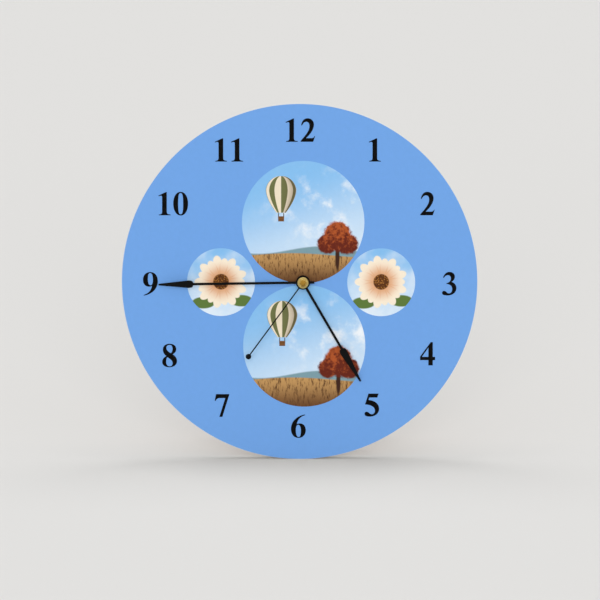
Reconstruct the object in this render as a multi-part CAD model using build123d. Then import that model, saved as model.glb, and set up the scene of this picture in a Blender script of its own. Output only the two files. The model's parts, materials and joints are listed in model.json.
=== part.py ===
from build123d import *
import os
from math import cos, pi, radians, sin, tan

# A round table clock: a printed board dial with four picture windows, three hands,
# a battery quartz movement screwed on behind, and a folding wire leg.
#
# Everything is drawn on the upright clock. X is to the right seen from the front, Y runs
# from the printed face towards the back, and Z is up, with the origin where the shaft
# meets the face. The finished pieces are then leaned back and stood on the table.

# Dial
DIAL_DIAMETER = 200.0
FACE_THICKNESS = 0.3
BOARD_THICKNESS = 4.7
BOARD_BACK_CHAMFER = 0.6
SHAFT_RIGHT_OF_MIDDLE = 1.9
SHAFT_HOLE_CLEARANCE = 0.1
INK_THICKNESS = 0.08
LEAN = 10.0

# Printed pictures: radius of each window, and its right and up from the disc's middle
LARGE_PICTURE_RADIUS = 34.4
SMALL_PICTURE_RADIUS = 19.1
PICTURE_CENTRES = {
    "picture_top": (2.0, 33.7),
    "picture_bottom": (2.6, -35.9),
    "picture_left": (-44.2, 0.0),
    "picture_right": (45.9, -0.1),
}

# Printed numerals, on a ring round the disc's middle
NUMERAL_HEIGHT = 13.0
NUMERAL_RING_RADIUS = 83.4
NUMERAL_RING_RISE = 1.9
SIDE_NUMERAL_DROP = 2.9
DIGIT_ADVANCE = 0.70

# Right and up from its place on the ring, for each hour: the figures were set by eye
NUMERAL_SHIFTS = {
    1: (0.5, 0.1),
    2: (-0.4, 0.5),
    3: (0.9, 0.1),
    4: (-0.2, -0.7),
    5: (-0.9, 1.0),
    6: (-0.7, 0.1),
    7: (-2.0, 0.7),
    8: (-1.0, -1.6),
    9: (-0.5, 0.0),
    10: (0.9, 0.5),
    11: (2.1, 0.1),
    12: (0.1, 0.0),
}

# Fits
RUNNING_CLEARANCE = 0.08
SLIP_CLEARANCE = 0.03
PRESS_CLEARANCE = 0.02
SIDE_PLAY = 0.1

# Hands: clockwise angle from twelve, and length from the shaft to the tip
HOUR_ANGLE = 149.8
HOUR_LENGTH = 64.5
HOUR_LEAF_START = 43.4
MINUTE_ANGLE = 269.2
MINUTE_LENGTH = 81.0
MINUTE_LEAF_START = 61.6
MINUTE_TAIL = 6.4
SECOND_ANGLE = 216.4
SECOND_LENGTH = 51.5
HAND_HUB_RADIUS = 3.95
HAND_STEM_WIDTH = 1.4
HAND_LEAF_WIDTH = 4.2
HAND_SHOULDER = 2.6
HAND_TIP_WIDTH = 0.9
HAND_THICKNESS = 0.5
SECOND_HUB_RADIUS = 2.4
SECOND_STEM_WIDTH = 0.7
SECOND_TIP_RADIUS = 1.55
SECOND_THICKNESS = 0.3
HAND_COLLET_WALL = 0.8
HAND_COLLET_LENGTH = 1.4
HOUR_HAND_DEPTH = -3.0
HAND_SPACING = 2.5
SECOND_HAND_SPACING = 2.1
SECOND_BUSH_WALL = 0.5
SECOND_BUSH_PROUD = 0.7
SECOND_BUSH_FLANGE = 0.5
SECOND_FLANGE_INSET = 0.4
CAP_RADIUS = 3.15
CAP_SKIRT = 0.9
CAP_DOME = 1.2

# Shafts on the dial's axis
SECOND_ARBOR_RADIUS = 0.65
CANNON_WALL = 1.02
HOUR_TUBE_WALL = 0.72
COLLAR_WALL = 0.87
COLLAR_PROUD = 0.6

# Movement case
PAD_THICKNESS = 1.0
PAD_WIDTH = 44.0
PAD_HOLE_RADIUS = 8.0
CASE_WALL = 1.4
CASE_CORNER = 3.0
CASE_SPLIT = 8.0
TRAIN_ABOVE_SHAFT = 26.6
TRAIN_BELOW_SHAFT = 10.0
BAY_CLEARANCE = 0.35
BAY_WALL_DEPTH = 13.0
LUG_WIDTH = 8.0
LUG_REACH = 7.5
LUG_ROUND = 2.0
LUG_ROOT = 2.0
LUG_OFFSET = 22.0
COLLAR_BOSS_WALL = 1.0
PILLAR_INSET = 6.1
PILLAR_LOW = -6.5
PILLAR_HIGH = 7.5
PILLAR_RADIUS = 1.7
PLATE_HIGH = 14.5
PLATE_INSET = 2.1
PLATE_FOOT_GAP = 0.6

# Battery: the common pen cell
CELL_DIAMETER = 14.5
CELL_LENGTH = 50.5
CELL_NUB_RADIUS = 2.7
CELL_NUB_LENGTH = 1.0
CELL_EDGE_ROUND = 0.7
CELL_SEAT_GAP = 0.2
CONTACT_ROOM = 1.35
CONTACT_THICKNESS = 0.4
CONTACT_GAP = 0.05
CONTACT_STRIP_WIDTH = 2.2
CONTACT_WEB_WIDTH = 2.0
CONTACT_BELOW_AXIS = 4.5
CONTACT_ABOVE_AXIS = 5.4
CONTACT_BEFORE_AXIS = 5.0
CONTACT_BEHIND_AXIS = 4.0
CONTACT_NOTCH_PLAY = 0.15

# Gear train: tooth counts and the centre distances that they share
ROTOR_LEAVES = 8
INTERMEDIATE_TEETH = 48
INTERMEDIATE_LEAVES = 8
SECOND_TEETH = 40
SECOND_LEAVES = 8
THIRD_TEETH = 64
THIRD_LEAVES = 8
CENTRE_TEETH = 60
CANNON_LEAVES = 12
MOTION_TEETH = 36
MOTION_LEAVES = 10
HOUR_TEETH = 40
THIRD_DISTANCE = 9.0
THIRD_DIRECTION = 170.0
INTERMEDIATE_DISTANCE = 7.2
INTERMEDIATE_DIRECTION = 75.0
ROTOR_DISTANCE = 7.0
ROTOR_DIRECTION = 40.0
MOTION_DISTANCE = 9.6
MOTION_DIRECTION = 0.0
WHEEL_THICKNESS = 0.8
PINION_LENGTH = 1.5
ARBOR_RADIUS = 0.5
PIVOT_RADIUS = 0.3
PIVOT_LENGTH = 0.8
STEM_RADIUS = 0.9
MOTION_PIVOT_RADIUS = 0.4
MOTION_WORK_THICKNESS = 1.0
CANNON_PINION_LENGTH = 1.6
MOTION_PINION_LENGTH = 1.4
HOUR_WHEEL_SEAT = 0.6
CLUTCH_WIDTH = 1.6
CENTRE_HUB_WALL = 1.2
PLATE_THICKNESS = 0.6
FRONT_BOSS_HEIGHT = 0.4
FRONT_BOSS_RADIUS = 1.5
REAR_BOSS_HEIGHT = 1.1
REAR_BOSS_RADIUS = 1.6

# Motor and circuit
MAGNET_RADIUS = 3.0
MAGNET_LENGTH = 2.6
MAGNET_GAP = 0.7
STATOR_AIR_GAP = 0.5
STATOR_POLE_WIDTH = 1.7
STATOR_THICKNESS = 1.0
STATOR_LEG = 3.0
STATOR_INSET = 6.1
STATOR_RISE = 0.8
STATOR_POST_RADIUS = 1.0
STATOR_POST_DROP = 1.1
CORE_HEIGHT = 2.4
CORE_THICKNESS = 1.0
COIL_GAP = 2.0
COIL_POLE_GAP = 0.55
BOBBIN_RADIUS = 1.9
BOBBIN_FLANGE_RADIUS = 3.7
BOBBIN_FLANGE = 0.8
WINDING_INSET = 0.3
BOARD_LOW = 10.2
BOARD_HIGH = 17.5
CIRCUIT_THICKNESS = 1.0
CIRCUIT_STANDOFF = 1.6
CIRCUIT_INSET = 1.2
CIRCUIT_POST_RADIUS = 1.3
CIRCUIT_POST_OFFSET = 14.0
CIRCUIT_POST_DROP = 1.6
CRYSTAL_RADIUS = 1.0
CRYSTAL_LENGTH = 6.0
CRYSTAL_LEFT = -14.0
CRYSTAL_RISE = 2.2
CHIP_RADIUS = 2.6
CHIP_HEIGHT = 0.9
CHIP_ROUND = 0.6
CHIP_RIGHT = -2.0
CHIP_RISE = 3.4

# Setting knob and hanger
KNOB_RADIUS = 5.5
KNOB_LENGTH = 5.6
KNOB_GAP = 0.4
KNOB_RIDGES = 24
KNOB_RIDGE_DEPTH = 0.4
KNOB_NECK_LENGTH = 1.0
KNOB_NECK_INSET = 0.8
KNOB_RIM = 1.6
KNOB_RECESS = 0.6
KNOB_END = 1.4
HANGER_WIDTH = 18.0
HANGER_HEIGHT = 10.5
HANGER_THICKNESS = 2.0
HANGER_HOLE_RADIUS = 3.0
HANGER_TONGUE_WIDTH = 10.0
HANGER_ROUND = 3.0
HANGER_INSET = 0.6

# Folding wire leg
WIRE_RADIUS = 1.5
LEG_SLOPE = 8.4
LEG_PIVOT_HEIGHT = 30.0
LEG_PIVOT_STANDOFF = 4.0
LEG_TOP_HALF_WIDTH = 36.0
LEG_FOOT_HALF_WIDTH = 27.0
LEG_TOP_BEND = 2.5
LEG_FOOT_BEND = 6.0
TRUNNION_LENGTH = 9.0
FOOT_RADIUS = 2.5
FOOT_LENGTH = 8.0
FOOT_INSET = 12.8
EAR_INSET = 4.5
EAR_WIDTH = 5.0
EAR_WALL = 2.0
STOP_GAP = 0.15
STOP_HEIGHT = 3.5
STOP_DROP = 8.5
STOP_THICKNESS = 1.7
BRACKET_THICKNESS = 1.6
BRACKET_WIDTH = 10.0
BRACKET_HEIGHT = 21.0
BRACKET_WIRE_GAP = 0.3
BRACKET_SCREW_MARGIN = 1.2
BRACKET_SCREW_END = 0.9

# Screws
WOOD_SCREW_RADIUS = 1.2
WOOD_SCREW_HEAD_RADIUS = 2.3
WOOD_SCREW_HEAD = 1.5
WOOD_SCREW_BITE = 3.8
CASE_SCREW_RADIUS = 0.95
CASE_SCREW_HEAD_RADIUS = 1.9
CASE_SCREW_HEAD = 1.2
CASE_SCREW_BITE = 7.6
CASE_SCREW_MARGIN = 0.4
SCREW_SLOT_WIDTH = 0.6

# Worked out from the driving dimensions
DIAL_RADIUS = DIAL_DIAMETER / 2
DIAL_MIDDLE = (-SHAFT_RIGHT_OF_MIDDLE, 0)
DIAL_BACK = FACE_THICKNESS + BOARD_THICKNESS
CANNON_RADIUS = SECOND_ARBOR_RADIUS + RUNNING_CLEARANCE + CANNON_WALL
HOUR_TUBE_RADIUS = CANNON_RADIUS + RUNNING_CLEARANCE + HOUR_TUBE_WALL
COLLAR_RADIUS = HOUR_TUBE_RADIUS + RUNNING_CLEARANCE + COLLAR_WALL
SHAFT_HOLE_RADIUS = COLLAR_RADIUS + SHAFT_HOLE_CLEARANCE
CASE_FRONT = DIAL_BACK + PAD_THICKNESS
CASE_INNER_FRONT = CASE_FRONT + CASE_WALL
CASE_JOIN = CASE_FRONT + CASE_SPLIT
CASE_WIDTH = CELL_LENGTH + 2 * (CONTACT_ROOM + CASE_WALL)
CASE_HALF_WIDTH = CASE_WIDTH / 2
CASE_INNER_HALF_WIDTH = CASE_HALF_WIDTH - CASE_WALL
TRAIN_HIGH = TRAIN_ABOVE_SHAFT
TRAIN_LOW = -TRAIN_BELOW_SHAFT
BAY_HEIGHT = CELL_DIAMETER + 2 * BAY_CLEARANCE
BAY_HIGH = TRAIN_LOW - CASE_WALL
BAY_LOW = BAY_HIGH - BAY_HEIGHT
CASE_HIGH = TRAIN_HIGH + CASE_WALL
CASE_LOW = BAY_LOW - CASE_WALL
CELL_RADIUS = CELL_DIAMETER / 2
CELL_UP = BAY_LOW + BAY_HEIGHT / 2
CELL_DEPTH = CASE_INNER_FRONT + CELL_SEAT_GAP + CELL_RADIUS

# Depths of the wheels, from the front of the movement to its back
HOUR_WHEEL_DEPTH = CASE_INNER_FRONT + HOUR_WHEEL_SEAT
MOTION_PINION_DEPTH = HOUR_WHEEL_DEPTH - SIDE_PLAY
CANNON_PINION_DEPTH = HOUR_WHEEL_DEPTH + MOTION_WORK_THICKNESS + 4 * SIDE_PLAY
MOTION_WHEEL_DEPTH = CANNON_PINION_DEPTH + 3 * SIDE_PLAY
CLUTCH_DEPTH = CANNON_PINION_DEPTH + CANNON_PINION_LENGTH
CENTRE_WHEEL_DEPTH = CLUTCH_DEPTH + WHEEL_THICKNESS
THIRD_PINION_DEPTH = CENTRE_WHEEL_DEPTH - 4 * SIDE_PLAY
PLATE_DEPTH = THIRD_PINION_DEPTH + PINION_LENGTH + 2 * SIDE_PLAY
CANNON_BACK = PLATE_DEPTH - 2 * SIDE_PLAY
PLATE_BACK = PLATE_DEPTH + PLATE_THICKNESS
SECOND_PINION_DEPTH = PLATE_BACK + 2 * SIDE_PLAY
THIRD_WHEEL_DEPTH = SECOND_PINION_DEPTH + (PINION_LENGTH - WHEEL_THICKNESS) / 2
INTERMEDIATE_PINION_DEPTH = SECOND_PINION_DEPTH + PINION_LENGTH + 2 * SIDE_PLAY
SECOND_WHEEL_DEPTH = INTERMEDIATE_PINION_DEPTH + (PINION_LENGTH - WHEEL_THICKNESS) / 2
ROTOR_PINION_DEPTH = INTERMEDIATE_PINION_DEPTH + PINION_LENGTH + 3 * SIDE_PLAY
INTERMEDIATE_WHEEL_DEPTH = ROTOR_PINION_DEPTH + (PINION_LENGTH - WHEEL_THICKNESS) / 2
MAGNET_DEPTH = PLATE_BACK + MAGNET_GAP
STATOR_DEPTH = MAGNET_DEPTH + STATOR_RISE
CORE_DEPTH = STATOR_DEPTH + STATOR_THICKNESS
COIL_AXIS_DEPTH = CORE_DEPTH + CORE_THICKNESS / 2
REAR_SHOULDER = ROTOR_PINION_DEPTH + PINION_LENGTH + 4 * SIDE_PLAY
REAR_BOSS_DEPTH = REAR_SHOULDER + SIDE_PLAY
COIL_BACK = COIL_AXIS_DEPTH + BOBBIN_FLANGE_RADIUS
CASE_INNER_BACK = max(REAR_BOSS_DEPTH + REAR_BOSS_HEIGHT, COIL_BACK + 2 * SIDE_PLAY)
CASE_DEPTH = CASE_INNER_BACK + CASE_WALL - CASE_FRONT
CASE_BACK = CASE_FRONT + CASE_DEPTH
BAY_BACK = CASE_INNER_FRONT + BAY_WALL_DEPTH

# Depths of the hands, each with its thickness towards the back
MINUTE_HAND_DEPTH = HOUR_HAND_DEPTH - HAND_SPACING
SECOND_HAND_DEPTH = MINUTE_HAND_DEPTH - SECOND_HAND_SPACING
HOUR_TUBE_END = HOUR_HAND_DEPTH - HAND_THICKNESS
CANNON_END = MINUTE_HAND_DEPTH - HAND_THICKNESS
SECOND_ARBOR_END = SECOND_HAND_DEPTH - SECOND_BUSH_PROUD

# The leg stands on the table: its length follows from its slope
PIVOT_DEPTH = DIAL_BACK + LEG_PIVOT_STANDOFF
PIVOT_RISE = (DIAL_RADIUS + LEG_PIVOT_HEIGHT) * cos(radians(LEAN)) - PIVOT_DEPTH * sin(radians(LEAN))
PIVOT_REACH = (DIAL_RADIUS + LEG_PIVOT_HEIGHT) * sin(radians(LEAN)) + PIVOT_DEPTH * cos(radians(LEAN))
LEG_LENGTH = (PIVOT_RISE - FOOT_RADIUS) / cos(radians(LEG_SLOPE))
LEG_OPENING = LEG_SLOPE + LEAN
FOOT_REACH = PIVOT_REACH + LEG_LENGTH * sin(radians(LEG_SLOPE))
FOOTPRINT_DEPTH = FOOT_REACH + FOOT_RADIUS


# Drawing helpers


def at_depth(depth):
    """Drawing plane parallel to the face: x to the right and y up, seen from the front."""
    return Plane(origin=(0, depth, 0), x_dir=(1, 0, 0), z_dir=(0, -1, 0))


def slab(outline, front, back):
    """Solid of a flat outline between two depths."""
    return extrude(at_depth(back) * outline, amount=back - front)


def disc(radius, front, back, at=(0, 0)):
    return slab(Pos(*at) * Circle(radius), front, back)


def ring(outer, inner, front, back, at=(0, 0)):
    return slab(Pos(*at) * (Circle(outer) - Circle(inner)), front, back)


def block(left, right, low, high, front, back):
    middle = Pos((left + right) / 2, (low + high) / 2)
    return slab(middle * Rectangle(right - left, high - low), front, back)


def cross_rod(radius, left, right, depth, up):
    """Round rod that runs from left to right."""
    start = Plane(origin=(left, depth, up), x_dir=(0, 1, 0), z_dir=(1, 0, 0))
    return extrude(start * Circle(radius), amount=right - left)


def polar(distance, direction, start=(0, 0)):
    angle = radians(direction)
    return (start[0] + distance * cos(angle), start[1] + distance * sin(angle))


def clockwise(outline, angle):
    return Rot(0, 0, -angle) * outline


# Toothed wheels

WHEEL_TOOTH_SHARE = 0.80
PINION_TOOTH_SHARE = 0.72
WHEEL_ADDENDUM = 0.85
PINION_ADDENDUM = 0.65
DEDENDUM = 1.2
TIP_SHARE = 0.40
PINION_LIMIT = 12


def toothed(teeth, module, phase):
    """Outline of a wheel with a tooth at the phase angle, or of a pinion with radial leaves."""
    is_pinion = teeth <= PINION_LIMIT
    share = PINION_TOOTH_SHARE if is_pinion else WHEEL_TOOTH_SHARE
    addendum = PINION_ADDENDUM if is_pinion else WHEEL_ADDENDUM
    pitch_radius = teeth * module / 2
    half_tooth = share * pi / teeth / 2
    flank = (
        (pitch_radius - DEDENDUM * module, half_tooth),
        (pitch_radius, half_tooth),
        (pitch_radius + addendum * module, half_tooth * TIP_SHARE),
    )
    points = []
    for tooth in range(teeth):
        middle = radians(phase) + 2 * pi * tooth / teeth
        rising = [(radius, middle - half) for radius, half in flank]
        falling = [(radius, middle + half) for radius, half in reversed(flank)]
        points += [(radius * cos(angle), radius * sin(angle)) for radius, angle in rising + falling]
    return Polygon(*points, align=None)


def module_for(distance, driver, driven):
    return 2 * distance / (driver + driven)


def gap_phase(direction, teeth):
    """Phase that puts a gap between two teeth at the mesh, opposite to the direction."""
    return direction + 180 + 180 / teeth


def wheel(teeth, module, phase, depth, thickness, at=(0, 0)):
    return slab(Pos(*at) * toothed(teeth, module, phase), depth, depth + thickness)


THIRD_AT = polar(THIRD_DISTANCE, THIRD_DIRECTION)
INTERMEDIATE_AT = polar(INTERMEDIATE_DISTANCE, INTERMEDIATE_DIRECTION)
ROTOR_AT = polar(ROTOR_DISTANCE, ROTOR_DIRECTION, INTERMEDIATE_AT)
MOTION_AT = polar(MOTION_DISTANCE, MOTION_DIRECTION)

SECOND_THIRD_MODULE = module_for(THIRD_DISTANCE, SECOND_LEAVES, THIRD_TEETH)
THIRD_CENTRE_MODULE = module_for(THIRD_DISTANCE, THIRD_LEAVES, CENTRE_TEETH)
SECOND_INTERMEDIATE_MODULE = module_for(INTERMEDIATE_DISTANCE, INTERMEDIATE_LEAVES, SECOND_TEETH)
ROTOR_MODULE = module_for(ROTOR_DISTANCE, ROTOR_LEAVES, INTERMEDIATE_TEETH)
CANNON_MODULE = module_for(MOTION_DISTANCE, CANNON_LEAVES, MOTION_TEETH)
HOUR_MODULE = module_for(MOTION_DISTANCE, MOTION_LEAVES, HOUR_TEETH)


# Screws


def slotted_screw(shank_radius, head_radius, head, seat, bite, at):
    """Screw driven in from behind: its head's underside is at the seat depth."""
    top = seat + head
    screw = disc(shank_radius, seat - bite, seat, at) + disc(head_radius, seat, top, at)
    slot = Pos(*at) * Rectangle(2 * head_radius + 1, SCREW_SLOT_WIDTH)
    return screw - slab(slot, top - head / 2, top + 1)


def wood_screw(seat, at):
    bite = seat - DIAL_BACK + WOOD_SCREW_BITE
    return slotted_screw(WOOD_SCREW_RADIUS, WOOD_SCREW_HEAD_RADIUS, WOOD_SCREW_HEAD, seat, bite, at)


BRACKET_LEFT = LEG_TOP_HALF_WIDTH + WIRE_RADIUS + BRACKET_WIRE_GAP
BRACKET_SCREW_RIGHT = BRACKET_LEFT + BRACKET_WIDTH - WOOD_SCREW_HEAD_RADIUS - BRACKET_SCREW_MARGIN
BRACKET_SCREW_RISE = BRACKET_HEIGHT / 2 - WOOD_SCREW_HEAD_RADIUS - BRACKET_SCREW_END
BRACKET_SCREWS = [
    (side * BRACKET_SCREW_RIGHT, LEG_PIVOT_HEIGHT + end * BRACKET_SCREW_RISE)
    for side in (-1, 1)
    for end in (-1, 1)
]
LUGS = [(-LUG_OFFSET, CASE_HIGH, 1), (LUG_OFFSET, CASE_LOW, -1)]
LUG_SCREWS = [(right, edge + side * LUG_REACH / 2) for right, edge, side in LUGS]
CASE_SCREW_RIGHT = CASE_INNER_HALF_WIDTH - CASE_SCREW_HEAD_RADIUS - CASE_SCREW_MARGIN
CASE_SCREW_UP = TRAIN_HIGH - CASE_SCREW_HEAD_RADIUS - CASE_SCREW_MARGIN
CASE_SCREWS = [(-CASE_SCREW_RIGHT, CASE_SCREW_UP), (CASE_SCREW_RIGHT, CASE_SCREW_UP)]


# Dial: board, printed face, numerals and pictures


def table_under_dial():
    """Everything below the table, seen from the upright clock, to cut the standing flat."""
    slab_size = 2 * DIAL_DIAMETER
    below = Pos(0, 0, -DIAL_RADIUS / 2) * Box(slab_size, slab_size, DIAL_RADIUS)
    return Pos(0, 0, -DIAL_RADIUS) * Rot(LEAN, 0, 0) * below


def dial_board():
    board = disc(DIAL_RADIUS, FACE_THICKNESS, DIAL_BACK, DIAL_MIDDLE)
    back_rim = board.edges().filter_by(GeomType.CIRCLE).sort_by(Axis.Y)[-1]
    board = chamfer(back_rim, BOARD_BACK_CHAMFER)
    board -= disc(SHAFT_HOLE_RADIUS, 0, DIAL_BACK)
    for place in BRACKET_SCREWS + LUG_SCREWS:
        pilot = WOOD_SCREW_RADIUS + PRESS_CLEARANCE
        board -= disc(pilot, DIAL_BACK - WOOD_SCREW_BITE - SIDE_PLAY, DIAL_BACK, place)
    return board - table_under_dial()


def face_sheet():
    sheet = disc(DIAL_RADIUS, 0, FACE_THICKNESS, DIAL_MIDDLE)
    sheet -= disc(SHAFT_HOLE_RADIUS, 0, FACE_THICKNESS)
    return sheet - table_under_dial()


def picture(name):
    small = name in ("picture_left", "picture_right")
    radius = SMALL_PICTURE_RADIUS if small else LARGE_PICTURE_RADIUS
    right, up = PICTURE_CENTRES[name]
    print_disc = disc(radius, -INK_THICKNESS, 0, (right - SHAFT_RIGHT_OF_MIDDLE, up))
    return print_disc - disc(SHAFT_HOLE_RADIUS, -INK_THICKNESS, 0)


# Bold serif digits, drawn on a grid a hundred units tall, one line of text for each closed
# contour: its first point, then L with a point for a straight step, or C with two handles and a
# point for a curve. Contours after the first are the holes in the digit.
DIGITS = {
    "0": [
        "32 -1  C 12 -1 0 22 0 50  C 0 78 12 101 32 101  C 52 101 64 78 64 50  C 64 22 52 -1 32 -1",
        "32 4  C 23 4 21 20 21 50  C 21 80 23 96 32 96  C 41 96 43 80 43 50  C 43 20 41 4 32 4",
    ],
    "1": [
        "8 0  L 58 0  L 58 3  C 46 4 42 6 42 16  L 42 100  L 38 100  L 6 85  L 7 82"
        "  C 18 86 22 86 22 77  L 22 16  C 22 6 18 4 8 3  L 8 0",
    ],
    "2": [
        "1 0  L 55 0  L 63 24  L 60 24  C 57 17 54 15.5 47 15.5  L 24 15.5  C 40 30 58 52 58 74"
        "  C 58 90 46 101 31 101  C 16 101 6 90 3 71  L 6.5 70  C 11 80 17 86 25 86"
        "  C 34 86 39 79 39 68  C 39 50 28 34 1 4  L 1 0",
    ],
    "3": [
        "4 76  C 9 92 19 101 32 101  C 46 101 55 92 55 80  C 55 70 50 63 41 58  C 55 53 62 43 62 31"
        "  C 62 12 46 -1 22 -1  C 8 -1 0 3 0 10  C 0 16 4 19 9 19  C 18 19 20 8 30 8"
        "  C 38 8 44 16 44 26  C 44 40 34 48 19 49  L 19 52  C 31 55 38 62 38 73"
        "  C 38 82 33 87 26 87  C 18 87 12 83 7 75  L 4 76",
    ],
    "4": [
        "36 0  L 55 0  L 55 23  L 65 23  L 65 37  L 55 37  L 55 101  L 46 101  L 0 38  L 0 23"
        "  L 36 23  L 36 0",
        "36 37  L 36 78  L 8 37  L 36 37",
    ],
    "5": [
        "17 99  L 61 99  L 55 82  L 20 82  L 17 71  C 40 70 63 57 63 33  C 63 12 46 -1 22 -1"
        "  C 8 -1 0 3 0 11  C 0 17 4 20 9 20  C 18 20 22 9 31 9  C 39 9 45 15 45 25"
        "  C 45 41 28 51 2 52  L 17 99",
    ],
    "6": [
        "61 101  L 61 98  C 42 92 29 80 25 59  C 29 61 34 62 38 62  C 54 62 64 50 64 33"
        "  C 64 12 51 -1 33 -1  C 12 -1 0 15 0 38  C 0 70 24 95 61 101",
        "33 3  C 25 3 21 14 21 34  C 21 47 25 56 31 56  C 39 56 43 46 43 29  C 43 11 40 3 33 3",
    ],
    "7": [
        "6 99  L 63 99  L 63 96  L 33 0  L 20 0  L 46 82  L 22 82  C 13 82 9 79 4 70  L 0 71  L 6 99",
    ],
    "8": [
        "31 -1  C 12 -1 0 8 0 22  C 0 34 8 42 18 48  C 8 55 3 64 3 76  C 3 91 15 101 32 101"
        "  C 50 101 61 91 61 78  C 61 67 54 60 45 55  C 57 48 64 38 64 26  C 64 9 50 -1 31 -1",
        "33 96  C 40 96 45 90 45 79  C 45 70 42 64 37 60  C 26 66 18 74 18 83  C 18 91 24 96 33 96",
        "22 43  C 37 34 45 27 45 16  C 45 8 40 3 32 3  C 23 3 17 10 17 22  C 17 31 18 38 22 43",
    ],
}
DIGIT_GRID = 100.0
DIGIT_WIDTH = 64.0


def contour_points(text):
    numbers = [float(word) for word in text.split()]
    return list(zip(numbers[0::2], numbers[1::2]))


def contour_face(contour):
    """Flat face inside one contour of a digit."""
    start, *steps = contour.replace("L", "|L").replace("C", "|C").split("|")
    here = contour_points(start)[0]
    edges = []
    for step in steps:
        points = contour_points(step[1:])
        curve = Bezier if step[0] == "C" else Line
        edges.append(curve(here, *points))
        here = points[-1]
    return make_face(edges)


def digit_outline(digit):
    """Digit of full height, centred on the middle of its own width."""
    if digit == "9":
        return Rot(0, 0, 180) * digit_outline("6")
    outline = contour_face(DIGITS[digit][0])
    for counter in DIGITS[digit][1:]:
        outline -= contour_face(counter)
    centred = Pos(-DIGIT_WIDTH / 2, -DIGIT_GRID / 2) * outline
    return scale(centred, by=NUMERAL_HEIGHT / DIGIT_GRID, about=(0, 0, 0))


def numeral(hour):
    """Ink of one hour numeral, upright at its place near the ring."""
    right, up = polar(NUMERAL_RING_RADIUS, 90 - 30 * hour, DIAL_MIDDLE)
    shift_right, shift_up = NUMERAL_SHIFTS[hour]
    right += shift_right
    up += NUMERAL_RING_RISE + shift_up
    if hour in (3, 9):
        up -= SIDE_NUMERAL_DROP
    figures = str(hour)
    advance = DIGIT_ADVANCE * NUMERAL_HEIGHT
    solids = []
    for index, figure in enumerate(figures):
        along = (index - (len(figures) - 1) / 2) * advance
        outline = Pos(right + along, up) * digit_outline(figure)
        solids += slab(outline, -INK_THICKNESS, 0).solids()
    return solids


def hour_numerals():
    return Compound([solid for hour in range(1, 13) for solid in numeral(hour)])


# Hands


def leaf_hand(length, leaf_start, tail):
    """Outline of a slim hand with a long leaf at its end, pointing at twelve."""
    stem = HAND_STEM_WIDTH / 2
    wide = HAND_LEAF_WIDTH / 2
    tip = HAND_TIP_WIDTH / 2
    full = leaf_start + HAND_SHOULDER
    leaf = make_face(
        [
            Bezier((stem, leaf_start), (wide, leaf_start), (wide, full)),
            Line((wide, full), (tip, length)),
            Line((tip, length), (-tip, length)),
            Line((-tip, length), (-wide, full)),
            Bezier((-wide, full), (-wide, leaf_start), (-stem, leaf_start)),
            Line((-stem, leaf_start), (stem, leaf_start)),
        ]
    )
    reach = leaf_start + tail
    shaft = Pos(0, leaf_start - reach / 2) * Rectangle(HAND_STEM_WIDTH, reach)
    return Circle(HAND_HUB_RADIUS) + shaft + leaf


def pressed_hand(outline, angle, depth, thickness, bore):
    """Stamped hand at its angle with a short collet that grips its shaft."""
    blade = slab(clockwise(outline, angle), depth, depth + thickness)
    blade += disc(bore + HAND_COLLET_WALL, depth, depth + HAND_COLLET_LENGTH)
    return blade - disc(bore, depth - 1, depth + HAND_COLLET_LENGTH + 1)


def hour_hand():
    outline = leaf_hand(HOUR_LENGTH, HOUR_LEAF_START, 0)
    bore = HOUR_TUBE_RADIUS + PRESS_CLEARANCE
    return pressed_hand(outline, HOUR_ANGLE, HOUR_HAND_DEPTH, HAND_THICKNESS, bore)


def minute_hand():
    outline = leaf_hand(MINUTE_LENGTH, MINUTE_LEAF_START, MINUTE_TAIL)
    bore = CANNON_RADIUS + PRESS_CLEARANCE
    return pressed_hand(outline, MINUTE_ANGLE, MINUTE_HAND_DEPTH, HAND_THICKNESS, bore)


SECOND_BUSH_RADIUS = SECOND_ARBOR_RADIUS + PRESS_CLEARANCE + SECOND_BUSH_WALL


def second_hand():
    stem = Pos(0, SECOND_LENGTH / 2) * Rectangle(SECOND_STEM_WIDTH, SECOND_LENGTH)
    outline = Circle(SECOND_HUB_RADIUS) + stem + Pos(0, SECOND_LENGTH) * Circle(SECOND_TIP_RADIUS)
    outline -= Circle(SECOND_BUSH_RADIUS + PRESS_CLEARANCE)
    back = SECOND_HAND_DEPTH + SECOND_THICKNESS
    return slab(clockwise(outline, SECOND_ANGLE), SECOND_HAND_DEPTH, back)


def second_hand_bush():
    """Brass tube that holds the second hand on its arbor, with a flange behind the hand."""
    back = SECOND_HAND_DEPTH + SECOND_THICKNESS
    bore = SECOND_ARBOR_RADIUS + PRESS_CLEARANCE
    end = back + SECOND_BUSH_FLANGE
    tube = ring(SECOND_BUSH_RADIUS, bore, SECOND_ARBOR_END, end)
    return tube + ring(SECOND_HUB_RADIUS - SECOND_FLANGE_INSET, bore, back, end)


def second_hand_cap():
    """Domed brass cap pressed over the bush, on the front of the second hand."""
    rim = SECOND_HAND_DEPTH - CAP_SKIRT
    top = rim - CAP_DOME
    profile = make_face(
        [
            Line((0, SECOND_HAND_DEPTH), (CAP_RADIUS, SECOND_HAND_DEPTH)),
            Line((CAP_RADIUS, SECOND_HAND_DEPTH), (CAP_RADIUS, rim)),
            Bezier((CAP_RADIUS, rim), (CAP_RADIUS, top), (0, top)),
            Line((0, top), (0, SECOND_HAND_DEPTH)),
        ]
    )
    dome = revolve(profile, axis=Axis.Y)
    socket = SECOND_BUSH_RADIUS + PRESS_CLEARANCE
    return dome - disc(socket, SECOND_ARBOR_END - SIDE_PLAY, SECOND_HAND_DEPTH)


# Movement: wheels and their arbors


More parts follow.
